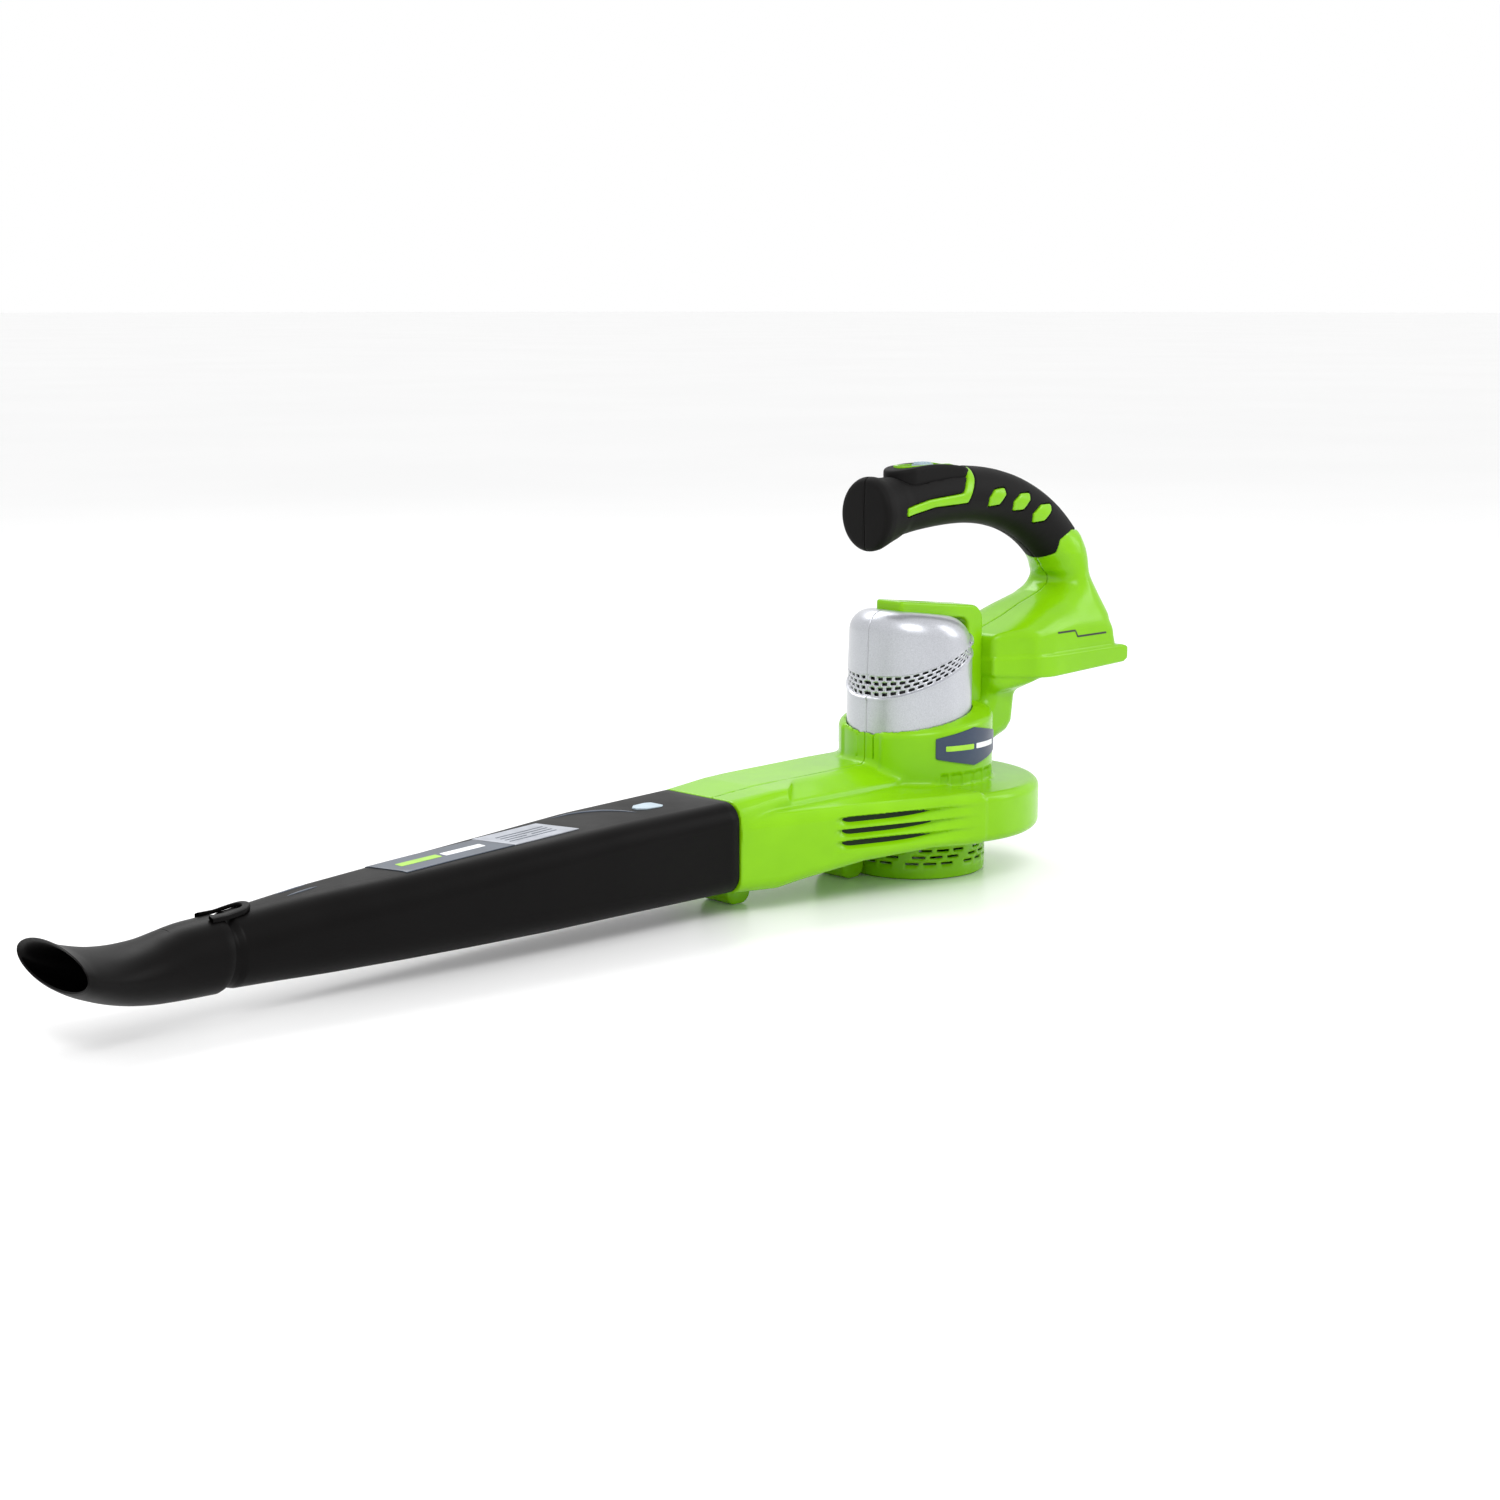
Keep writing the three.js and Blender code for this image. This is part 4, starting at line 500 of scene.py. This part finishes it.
def grip_field(x, y, z):
    """The soft grip: the bar, less its green inserts, a groove round the switch hump, and the hard root."""
    whole = handle_bar(x, y, z, 20.0)
    inserts = np.minimum.reduce([outline_field(x, z, outline) for outline in insert_outlines])
    whole = smooth_max(whole, -np.maximum(np.maximum(inserts - 0.7, 5 - np.abs(y)), 17.5 + path_field(x, y, z, grip_path, 0) * -1), 0.7)
    whole = smooth_max(whole, -outline_field(x, z, root_outline), 1.2)
    room = np.hypot(np.maximum(np.abs(x - 8) - 23.5, 0), y) - 14.2
    return smooth_max(whole, -np.maximum(room, 268 - z), 0.8)


for side, name in ((1, "left"), (-1, "right")):
    low = (-58, SEAM - 0.6, 196) if side > 0 else (-58, -24.5, 196)
    high = (172, 24.5, 286) if side > 0 else (172, -SEAM + 0.6, 286)
    points, quads = skin(lambda x, y, z: np.maximum(grip_field(x, y, z), SEAM - side * y), low, high, 1.2)
    make_piece(f"soft_grip_{name}", points, quads, grip_rubber, "housing", [f"grip_{name}"])
    points, quads = skin(
        lambda x, y, z: smooth_max(
            np.maximum(handle_bar(x, y, z, 20.35), 6 - side * y),
            np.maximum(np.minimum.reduce([outline_field(x, z, outline) for outline in insert_outlines]), 16 - path_field(x, y, z, grip_path, 0)), 0.9),
        (-36, 5.4 if side > 0 else -21.5, 232), (126, 21.5 if side > 0 else -5.4, 281), 0.9)
    make_piece(f"handle_inserts_{name}", points, quads, lime_abs, "housing", ())
points, quads = skin(hump_field, (-30, -15.5, 264), (47, 15.5, 283), 0.8)
make_piece("switch_hump", points, quads, grip_rubber, "housing", ["switch_housing"])


# ---------------------------------------------------------------- motor cover and strap
def cover_height(x):
    return 178.6 - 0.143 * x


band_turns = np.array([180, 189, 199, 215, 227, 245, 263, 283, 300, 330, 360])
band_low = np.array([125.2, 124.8, 125.2, 127.6, 130.4, 135.2, 140.6, 147, 151, 155, 156])
band_high = np.array([140.2, 139.8, 140.0, 140.8, 142.4, 146.0, 150.4, 155.2, 158.5, 161.5, 162])


def cover_shell(side):
    """Half of the cover on a grid of turn about the fan axis and height: skirt, recessed vent band with its slots
    left out, wall, rounded shoulder and a roof that falls toward the battery end."""
    pitches = 21
    per = 6
    columns = pitches * per + 1
    turn = np.linspace(180, 360, columns)
    low = np.interp(turn, band_turns, band_low)
    high = np.interp(turn, band_turns, band_high)
    radians = np.radians(turn)
    rows_z, rows_r, slot_rows = [], [], []
    for t in np.linspace(0, 1, 6):
        rows_z.append(88 + (low - 1.6 - 88) * t)
        rows_r.append(COVER_R + 0.4 - 0.2 * t + 0 * turn)
    for lift, out in ((-1.9, COVER_R + 0.9), (-0.7, COVER_R + 0.9), (0.3, COVER_R - 0.4)):
        rows_z.append(low + lift)
        rows_r.append(out + 0 * turn)
    share = [0.08, 0.225, 0.32, 0.465, 0.56, 0.705, 0.80, 0.945]
    for n, t in enumerate(share):
        if n % 2 == 0:
            slot_rows.append(len(rows_z))
        rows_z.append(low + (high - low) * t)
        rows_r.append(COVER_R - 0.55 + 0 * turn)
    for lift, out in ((-0.1, COVER_R - 0.55), (0.25, COVER_R - 0.05)):
        rows_z.append(high + lift)
        rows_r.append(out + 0 * turn)
    level = cover_height(COVER_X + COVER_R * np.cos(radians)) - 17
    for t in np.linspace(0.15, 1, 5):
        rows_z.append(high + (level - high) * t)
        rows_r.append(COVER_R - 0.1 - 0.9 * t + 0 * turn)
    for angle in np.linspace(0, math.pi / 2, 12)[1:]:
        radius = COVER_R - 18 + 17 * math.cos(angle)
        rows_r.append(radius + 0 * turn)
        rows_z.append(cover_height(COVER_X + radius * np.cos(radians)) - 17 + 17 * math.sin(angle))
    for radius in (18, 12, 6, 0.3):
        rows_r.append(radius + 0 * turn)
        rows_z.append(cover_height(COVER_X + radius * np.cos(radians)) + 0.5 * (1 - radius / 25))
    z, r = np.array(rows_z), np.array(rows_r)
    y = np.minimum(r * np.sin(radians), -SEAM) * (-1 if side > 0 else 1)
    points = np.stack([COVER_X + r * np.cos(radians), y, z], -1).reshape(-1, 3)
    keep = np.ones((len(z) - 1, columns - 1), bool)
    cell = np.arange(columns - 1)
    for n, row in enumerate(slot_rows):
        keep[row] = ((cell + 1 + (n % 2) * (per // 2)) % per) >= 4
    keep[:, (turn[:-1] > 338)] = True
    return points, grid_faces(len(z), columns, False, keep)


for side, name in ((1, "left"), (-1, "right")):
    points, quads = cover_shell(side)
    make_piece(f"cover_{name}", points, quads, silver_paint, "housing", [f"motor_cover_{name}"], 32, wall=1.8)


def cover_liner():
    """A dark sleeve behind the vent slots, as a profile turned about the cover's own axis."""
    turn = np.linspace(0, 2 * math.pi, 96, endpoint=False)
    r = np.array([[36.0], [39.6], [39.6], [39.6], [36.0]])
    z = np.array([[96.0], [97.0], [130.0], [160.0], [161.0]])
    return np.stack([COVER_X + r * np.cos(turn), r * np.sin(turn), z + 0 * turn], -1).reshape(-1, 3), grid_faces(5, 96, True)


points, quads = cover_liner()
make_piece("cover_liner", points, quads, nylon, "housing", (), wall=0.8)


def strap_top(x):
    return 186.2 - 0.115 * x


def strap_field(x, y, z):
    """The strap over the cover: an L in side view with a wide outer corner, sunk where its oval plate sits."""
    strap = smooth_max(outline_field(x, z, strap_outline), np.abs(y) - 12, 2.2)
    oval = np.hypot(np.maximum(np.abs(x + 1) - 9.7, 0), y) - 6.4
    return smooth_max(strap, -np.maximum(oval, strap_top(x) - 2.4 - z), 0.9)


quarter = np.linspace(0, math.pi / 2, 9)
strap_outline = np.vstack([
    [(-29, 180.4), (-29, 187.5), (-28.3, 189), (-26.8, strap_top(-26.8))],
    np.stack([44.5 + 12 * np.sin(quarter), strap_top(44.5) - 12 + 12 * np.cos(quarter)], -1),
    [(56.5, 111), (41.2, 110)],
    np.stack([33.2 + 8 * np.sin(quarter[::-1]), 165 + 8 * np.cos(quarter[::-1])], -1)])
points, quads = skin(strap_field, (-31, -13.5, 107), (59, 13.5, 193), 0.9)
make_piece("strap_over_cover", points, quads, lime_abs, "housing", ["cover_strap"])


# ---------------------------------------------------------------- thin plates laid on a surface
def plate(name, outline, thick, lay, finish, body, stands_for=(), ease=0.25):
    """A thin plate: rings of its outline shrink toward its middle, over the top, round the edge and under.
    lay turns (u, v, height) into a place on the surface below."""
    outline = np.array(outline, float)
    middle = outline.mean(0)
    rings = [(0.0, thick), (0.25, thick), (0.5, thick), (0.75, thick), (0.9, thick), (1 - 0.4 * ease / 8, thick), (1.0, thick - ease), (1.0, 0.0)]
    rings += [(0.75, 0.0), (0.5, 0.0), (0.25, 0.0), (0.0, 0.0)]
    shares = np.array([share for share, _ in rings])
    heights = np.repeat(np.array([height for _, height in rings]), len(outline))
    flat = (middle + (outline - middle)[None] * shares[:, None, None]).reshape(-1, 2)
    points = np.stack(lay(flat[:, 0], flat[:, 1], heights), -1)
    return make_piece(name, points, grid_faces(len(rings), len(outline), True), finish, body, stands_for, 40)


def dense(outline, spacing):
    """The outline with points added along its edges, so that a plate can bend."""
    points = np.array(outline, float)
    parts = []
    for start, end in zip(points, np.roll(points, -1, 0)):
        count = max(1, int(np.linalg.norm(end - start) / spacing))
        parts.append(start + (end - start) * (np.arange(count) / count)[:, None])
    return np.vstack(parts)


def bar(low_u, high_u, low_v, high_v, corner=0.8):
    return dense(filleted([(low_u, low_v), (high_u, low_v), (high_u, high_v), (low_u, high_v)], corner, 4), 2.0)


badge = dense(filleted([(-31, 84.7), (0, 78.4), (31, 84.7), (31, 98.6), (0, 104.6), (-31, 98.6)], 1.6, 4), 2.0)
for side, name in ((1, "left"), (-1, "right")):
    def on_collar(u, v, w, side=side):
        """u runs round the collar from its middle side line, v is height, w stands off it."""
        angle = side * math.pi / 2 + (-side if side > 0 else 1) * u / COLLAR_R
        return (COLLAR_R + 0.05 + w) * np.cos(angle), (COLLAR_R + 0.05 + w) * np.sin(angle), v + 0 * u
    plate(f"badge_plate_{name}", badge, 1.1, on_collar, navy_vinyl, "housing", [f"badge_{name}"])
    for n, (a, b, finish) in enumerate([(-24, -1, lime_ink), (1.5, 24, white_ink)]):
        def on_badge(u, v, w, lay=on_collar):
            return lay(u, v, w + 1.05)
        plate(f"badge_bar_{name}_{n + 1}", bar(a, b, 89.7, 93.3), 0.22, on_badge, finish, "housing", ease=0.08)


def on_strap(u, v, w):
    return u, v, strap_top(u) - 2.35 + w


for side, name in ((1, "left"), (-1, "right")):
    def in_louvres(u, v, w, side=side):
        """u runs along the flank, v is height, w stands out of a plane 4.4 mm under the flank."""
        flank = DUCT_Y + side * 40 + (far_slope if side > 0 else near_slope) * (u - DUCT_X)
        return u, flank - side * (4.4 - w), v + 0 * u
    # Painted shade: a dark green sheet under the flank that shows only where the louvres are deep, standing for the
    # shade inside them.
    outline = dense([(-134, 37), (-40, 37), (-40, 59.6), (-134, 59.6)], 4)
    plate(f"louvre_shade_plate_{name}", outline, 0.8, in_louvres, louvre_shade_nylon, "housing")

    def on_dock_side(u, v, w, side=side):
        """u runs along the dock, v is height, and the housing's own surface is found by halving 18 times."""
        low, high = np.full(len(u), 20.0), np.full(len(u), 46.0)
        for _ in range(18):
            mid = (low + high) / 2
            within = housing_field(u, side * mid, v) < 0
            low, high = np.where(within, mid, low), np.where(within, high, mid)
        return u, side * (low + w), v
    step_line = dense([(126.2, 157.6), (127.6, 157.6), (130, 153), (128.6, 153)], 1.5)
    for n, outline in enumerate([bar(107, 127, 157.3, 158.6, 0.4), step_line, bar(129, 162, 152.8, 154.1, 0.4)]):
        plate(f"dock_line_{name}_{n + 1}", outline, 0.15, on_dock_side, black_ink, "housing", ease=0.05)


angles = np.linspace(0, 2 * math.pi, 40, endpoint=False)
oval = np.stack([-1 + np.sign(np.cos(angles)) * 9.5 + 6.0 * np.cos(angles), 6.0 * np.sin(angles)], -1)
plate("strap_plate", oval, 1.0, on_strap, slate_vinyl, "housing", ["strap_insert"])
plate("strap_plate_bar", bar(-12, 10, -1.4, 1.4), 0.2, lambda u, v, w: on_strap(u, v, w + 1.0), grey_vinyl, "housing", ease=0.08)


# ---------------------------------------------------------------- intake base
def intake_base():
    """The round base on a grid of turn and row: grille floor, rounded foot, wall with three rows of slots, top rim."""
    groups, per = 7, 28
    columns = groups * per
    turn = np.radians(np.arange(columns) * 360 / columns - 94)
    profile = [(12, 0.2), (16, 0), (37, 0), (43, 0), (47.5, 0), (48.7, 0.8), (49, 2), (49, 6), (49, 10.1), (49, 11.8), (49, 14.6), (49, 16.3),
               (49, 19.1), (49, 20.8), (49, 25), (49, 30.6), (40, 30.6)]
    r = np.array([p[0] for p in profile])[:, None]
    z = np.array([p[1] for p in profile])[:, None] + 0 * turn
    points = np.stack([r * np.cos(turn), r * np.sin(turn), z], -1).reshape(-1, 3)
    cell = np.arange(columns)
    keep = np.ones((len(profile) - 1, columns), bool)
    for n, row in enumerate((8, 10, 12)):
        place = (cell - 3 * n) % per
        keep[row] = ~(((place % 8) < 6) & (place < 24))
    keep[1] = (cell % 14) < 3
    hub = len(points)
    points = np.vstack([points, [(0, 0, 0.2)]])
    fan = np.stack([cell, (cell + 1) % columns, np.full(columns, hub)], -1)
    return points, [grid_faces(len(profile), columns, True, keep), fan[:, ::-1]]


points, faces = intake_base()
make_piece("intake_cup", points, faces, lime_abs, "housing", ["intake_base"], 40, wall=2.4)

# ---------------------------------------------------------------- blow tube
tube_rows = np.array([  # x, z of the middle, half width, half height, corner
    (-598, 35.8, 19.6, 19.6, 19.6), (-562, 35.8, 19.6, 19.6, 19.6), (-558, 36.8, 21.7, 21.7, 21.7), (-530, 37.7, 24.2, 23.2, 22), (-500, 38.4, 26.5, 24.7, 21),
    (-450, 39.2, 29.8, 26, 19.5), (-400, 40.2, 32.5, 27.2, 18), (-345, 41.6, 35.2, 28.3, 16), (-290, 43.6, 37.5, 29.1, 14), (-197.3, 45, 39.7, 30, 13)])


def tube_size(x):
    return [np.interp(x, tube_rows[:, 0], tube_rows[:, n]) for n in (1, 2, 3, 4)]


def loft_ring(x, rise, half_w, half_h, corner, angles, lean=0.0):
    """Points of a rounded rectangle: c and s are the angle's cosine and sine; y = ±(half_w - corner) + corner·c."""
    c, s = np.cos(angles), np.sin(angles)
    y = DUCT_Y + np.sign(c) * (half_w - corner) + c * corner
    up = np.sign(s) * (half_h - corner) + s * corner
    return np.stack([x + lean * up, y, rise + up], -1)


def on_tube(u, v, w):
    """u runs along the tube, v across its top from the middle line, w stands off the top."""
    rise, half_w, half_h, corner = tube_size(u)
    over = np.maximum(np.abs(v) - (half_w - corner), 0)
    return u, DUCT_Y + v, rise + half_h - corner + np.sqrt(np.maximum(corner ** 2 - over ** 2, 1)) + w


def tube_shell():
    """Outer and inner lofts joined at both ends; the mouth end is cut square and the root end fits the housing."""
    angles = (np.arange(96) + 0.5) * 2 * math.pi / 96
    outer_x = np.concatenate([[-597.8, -597], np.linspace(-590, -566, 6), np.linspace(-562, -557, 7), np.linspace(-550, -205, 40), [-198.6, -197.6]])
    trims = np.zeros(len(outer_x))
    trims[0], trims[-1] = 0.8, 0.7
    rings = []
    for x, trim in zip(outer_x, trims):
        rise, half_w, half_h, corner = tube_size(x)
        rings.append(loft_ring(x, rise, half_w - trim, half_h - trim, max(corner - trim, 3), angles))
    for x in np.concatenate([[-197.4], np.linspace(-205, -550, 24), [-557, -563, -597.9]]):
        rise, half_w, half_h, corner = tube_size(x)
        rings.append(loft_ring(x, rise, half_w - 2.2, half_h - 2.2, max(corner - 2.2, 3), angles))
    rings.append(rings[0])
    points = np.concatenate(rings[:-1])
    count = len(rings) - 1
    faces = grid_faces(count, 96, True)
    first = np.arange(96)
    last = (count - 1) * 96 + first
    close = np.stack([last, np.roll(last, -1), np.roll(first, -1), first], -1)
    return points, np.vstack([faces, close])


button_outline = filleted([(-253, 12), (-244, 18.8), (-236, 20), (-233, 18), (-233, 6), (-236, 4), (-244, 5.2)], 1.8, 5)
points, quads = tube_shell()
tube = make_piece("tube_body", points, quads, tube_pp, "tube", ["blower_tube"], 40)


def cut_through(piece, outline, low, high):
    """Cuts an upright prism of the outline out of a piece, and keeps the result as its mesh."""
    count = len(outline)
    ring = np.arange(count)
    points = np.vstack([np.column_stack([outline, np.full(count, low)]), np.column_stack([outline, np.full(count, high)])])
    mesh = bpy.data.meshes.new("cutter")
    mesh.from_pydata((points * MM).tolist(), [], [ring[::-1].tolist(), (ring + count).tolist()] + [
        [int(a), int(b), int(b) + count, int(a) + count] for a, b in zip(ring, np.roll(ring, -1))])
    tool = bpy.data.objects.new("cutter", mesh)
    bpy.context.scene.collection.objects.link(tool)
    made = piece.modifiers.new("hole", "BOOLEAN")
    made.operation = "DIFFERENCE"
    made.solver = "EXACT"
    made.object = tool
    bpy.context.view_layer.update()
    cut = bpy.data.meshes.new_from_object(piece.evaluated_get(bpy.context.evaluated_depsgraph_get()))
    piece.modifiers.remove(made)
    piece.data = cut
    bpy.data.objects.remove(tool)


def grown(outline, amount):
    """The outline moved out along its corner normals."""
    outline = np.array(outline, float)
    along = np.roll(outline, -1, 0) - np.roll(outline, 1, 0)
    out = np.stack([along[:, 1], -along[:, 0]], -1) / np.linalg.norm(along, axis=1)[:, None]
    area = (outline[:, 0] * np.roll(outline[:, 1], -1) - outline[:, 1] * np.roll(outline[:, 0], -1)).sum()
    return outline + out * amount * np.sign(area)


cut_through(tube, grown(button_outline, 1.3), 60, 90)
button_flat = button_outline - np.array([0, DUCT_Y])
plate("catch_button", dense(button_flat, 3), 9, lambda u, v, w: on_tube(u, v, w - 8.6), acetal, "catch", (), ease=1.0)


def label_outline(start, end, near, far, skew):
    return dense([(start - skew, near), (end - skew, near), (end + skew, far), (start + skew, far)], 3)


plate("label_dark_film", label_outline(-448, -367.3, -15, 15, -4), 0.5, lambda u, v, w: on_tube(u, v, w + 0.05), slate_vinyl, "tube", ["tube_label_dark"], ease=0.1)
plate("label_light_film", label_outline(-366.6, -316, -15, 17, -4), 0.5, lambda u, v, w: on_tube(u, v, w + 0.05), grey_vinyl, "tube", ["tube_label_light"], ease=0.1)
plate("label_bar_1", bar(-439, -409, -3.5, 3.5), 0.14, lambda u, v, w: on_tube(u, v, w + 0.53), lime_ink, "tube", ease=0.05)
plate("label_bar_2", bar(-406, -376, -3.5, 3.5), 0.14, lambda u, v, w: on_tube(u, v, w + 0.53), white_ink, "tube", ease=0.05)
for n, (a, b, v) in enumerate([(-360, -323, 7), (-360, -323, 2.5), (-360, -343, -2), (-339, -323, -2), (-360, -323, -6.5)]):
    plate(f"label_line_{n + 1}", bar(a, b, v - 0.7, v + 0.7, 0.4), 0.14, lambda u, v, w: on_tube(u, v, w + 0.53), slate_vinyl, "tube", ease=0.05)


def bead(name, knots, radius, finish, body, lay):
    """A low bead along a curve on the surface: a round section that tapers to a point at both ends."""
    run = curve_through(knots, 30)
    centre = np.stack(lay(run[:, 0], run[:, 1], np.zeros(len(run))), -1)
    along = np.gradient(centre, axis=0)
    along /= np.linalg.norm(along, axis=1)[:, None]
    sideways = np.cross(along, [0, 0, 1])
    sideways /= np.linalg.norm(sideways, axis=1)[:, None]
    up = np.cross(sideways, along)
    size = radius * np.sqrt(np.sin(np.linspace(0.01, math.pi - 0.01, len(run))))[:, None, None]
    angle = np.linspace(0, 2 * math.pi, 12, endpoint=False)[None, :, None]
    points = centre[:, None] + size * (np.cos(angle) * sideways[:, None] + 0.6 * np.sin(angle) * up[:, None])
    return make_piece(name, points.reshape(-1, 3), grid_faces(len(run), 12, True), finish, body)


# The beads are real raised ridges on the tube; their lighter slate colour is a painted highlight along each ridge.
bead("tube_bead_highlight_1", [(-305, 21), (-287, 20), (-272, 14), (-263, 4), (-258, -8)], 1.1, slate_vinyl, "tube", on_tube)
bead("tube_bead_highlight_2", [(-521, 6), (-508, 7), (-499, 8)], 0.9, slate_vinyl, "tube", on_tube)
bead("tube_bead_highlight_3", [(-519, -3), (-508, -2), (-497, -1)], 0.9, slate_vinyl, "tube", on_tube)


def spigot():
    """The stub of the housing that the tube slides over: the tube's inner form 0.4 mm smaller, 2.6 mm thick."""
    angles = (np.arange(72) + 0.5) * 2 * math.pi / 72
    rings = []
    for thick, run in ((2.6, np.linspace(-285, -195, 12)), (5.2, np.linspace(-195, -285, 12))):
        for x in run:
            rise, half_w, half_h, corner = tube_size(x)
            rings.append(loft_ring(x, rise, half_w - thick, half_h - thick, max(corner - thick, 3), angles))
    rings.append(rings[0])
    return np.concatenate(rings), grid_faces(len(rings), 72, True)


points, quads = spigot()
make_piece("duct_spigot", points, quads, lime_abs, "housing", (), 40)

# ---------------------------------------------------------------- nozzle
nozzle_rows = curve_through([  # x, z of the middle, half width, half height, lean
    (-666, 47.6, 37, 14.9, -0.2), (-660.5, 44.4, 35.5, 14.6, -0.15), (-654, 41.6, 33.7, 14.5, -0.1), (-641, 37.6, 30, 15, 0), (-627, 35.1, 26.8, 16.4, 0),
    (-612, 34.2, 24.2, 18.1, 0), (-600, 34.8, 22.8, 19.8, 0), (-586, 35.7, 22.2, 21.4, 0), (-566, 36.1, 22.2, 22.2, 0.12)], 60)


def nozzle_shell():
    """The flared nozzle: an outer loft through ellipses, a rolled mouth, and an inner loft 2 mm inside it."""
    angles = (np.arange(96) + 0.5) * 2 * math.pi / 96
    rings = []
    for n, (x, rise, half_w, half_h, lean) in enumerate(nozzle_rows):
        trim = {0: 0.7, len(nozzle_rows) - 1: 0.8}.get(n, 0)
        c, s = np.cos(angles), np.sin(angles)
        up = (half_h - trim) * s
        rings.append(np.stack([x + lean * up, DUCT_Y + (half_w - trim) * c, rise + up], -1))
    for x, rise, half_w, half_h, lean in nozzle_rows[::-2]:
        up = (half_h - 2) * np.sin(angles)
        rings.append(np.stack([x + lean * up + (0.3 if x < -665 else 0), DUCT_Y + (half_w - 2) * np.cos(angles), rise + up], -1))
    points = np.concatenate(rings)
    count = len(rings)
    faces = grid_faces(count, 96, True)
    first = np.arange(96)
    last = (count - 1) * 96 + first
    close = np.stack([last, np.roll(last, -1), np.roll(first, -1), first], -1)
    return points, np.vstack([faces, close])


points, quads = nozzle_shell()
make_piece("nozzle_body", points, quads, tube_pp, "nozzle_piece", ["nozzle"], 40)


def latch_loop():
    """The nozzle's latch: a flat strip carried round a long loop that is round at its tube end."""
    t = np.linspace(-math.pi / 2, math.pi / 2, 16)
    nose = np.stack([-553 + 7.2 * np.cos(t), 7.2 * np.sin(t)], -1)
    path = np.vstack([[(-572, -7.2)], [(-562, -7.2)], nose, [(-562, 7.2)], [(-572, 7.2)]])
    along = np.gradient(path, axis=0)
    along /= np.linalg.norm(along, axis=1)[:, None]
    out = np.stack([along[:, 1], -along[:, 0]], -1)
    section = filleted([(-2.3, 0), (2.3, 0), (2.3, 2.4), (-2.3, 2.4)], 0.8, 4)
    flat = path[:, None] + out[:, None] * section[None, :, :1]
    base = np.maximum(36.1 + np.sqrt(np.maximum(22.2 ** 2 - flat[..., 1] ** 2, 1)), on_tube(flat[..., 0], flat[..., 1], 0.5)[2]) - 0.3
    points = np.stack([flat[..., 0], DUCT_Y + flat[..., 1], base + section[None, :, 1]], -1)
    return points.reshape(-1, 3), grid_faces(len(path), len(section), True)


points, quads = latch_loop()
make_piece("nozzle_latch", points, quads, tube_pp, "nozzle_piece", (), 40)


# ---------------------------------------------------------------- floor, light and camera
def studio_floor():
    """The studio floor: a flat disc of rings that grow outward, wide enough for its rim to fade at eye level."""
    r = np.concatenate([[0.05], np.geomspace(0.5, 40, 14)])
    turn = np.linspace(0, 2 * math.pi, 96, endpoint=False)
    points = np.stack([r[:, None] * np.cos(turn), r[:, None] * np.sin(turn), 0 * r[:, None] + 0 * turn], -1).reshape(-1, 3)
    mesh = bpy.data.meshes.new("studio_floor")
    mesh.from_pydata(points.tolist(), [], grid_faces(len(r), 96, True)[:, ::-1].tolist() + [list(range(96))])
    made = bpy.data.objects.new("studio_floor", mesh)
    bpy.context.scene.collection.objects.link(made)
    return made


floor = studio_floor()
floor.location = (-0.24, 0, -0.0002)
floor.data.materials.append(finish_of("white_acrylic_sheet", "#F4F4F4", "#F8F8F8", 900, 0.30, 0.02, 400, 0.01, IOR=1.49))

world = bpy.data.worlds.new("studio")
bpy.context.scene.world = world
world.use_nodes = True
world.node_tree.nodes["Background"].inputs["Color"].default_value = (1, 1, 1, 1)
world.node_tree.nodes["Background"].inputs["Strength"].default_value = 1.0


def softbox(name, place, aim, width, height, power):
    lamp = bpy.data.lights.new(name, "AREA")
    lamp.shape = "RECTANGLE"
    lamp.size, lamp.size_y = width, height
    lamp.energy = power
    made = bpy.data.objects.new(name, lamp)
    bpy.context.scene.collection.objects.link(made)
    made.matrix_world = Matrix.Translation(place) @ (Vector(aim) - Vector(place)).to_track_quat("-Z", "Y").to_matrix().to_4x4()
    return made


softbox("key_softbox", (-1.0, -1.3, 1.7), (-0.1, 0, 0.1), 1.1, 0.9, 21)
softbox("side_softbox", (1.3, -1.1, 1.0), (0, 0, 0.12), 0.5, 1.2, 8)
softbox("back_softbox", (0.2, 1.5, 1.8), (-0.2, 0, 0.1), 1.6, 0.8, 20)

camera_data = bpy.data.cameras.new("camera")
camera_data.sensor_width = 36
camera_data.lens = 62.4
camera = bpy.data.objects.new("camera", camera_data)
bpy.context.scene.collection.objects.link(camera)
forward = Vector((0.6888, 0.7033, -0.1757)).normalized()
right = forward.cross(Vector((0, 0, 1))).normalized()
upward = right.cross(forward)
camera.matrix_world = Matrix.Translation((-1.334, -1.197, 0.401)) @ Matrix((right, upward, -forward)).transposed().to_4x4()
bpy.context.scene.camera = camera
bpy.context.scene.view_settings.view_transform = "Standard"
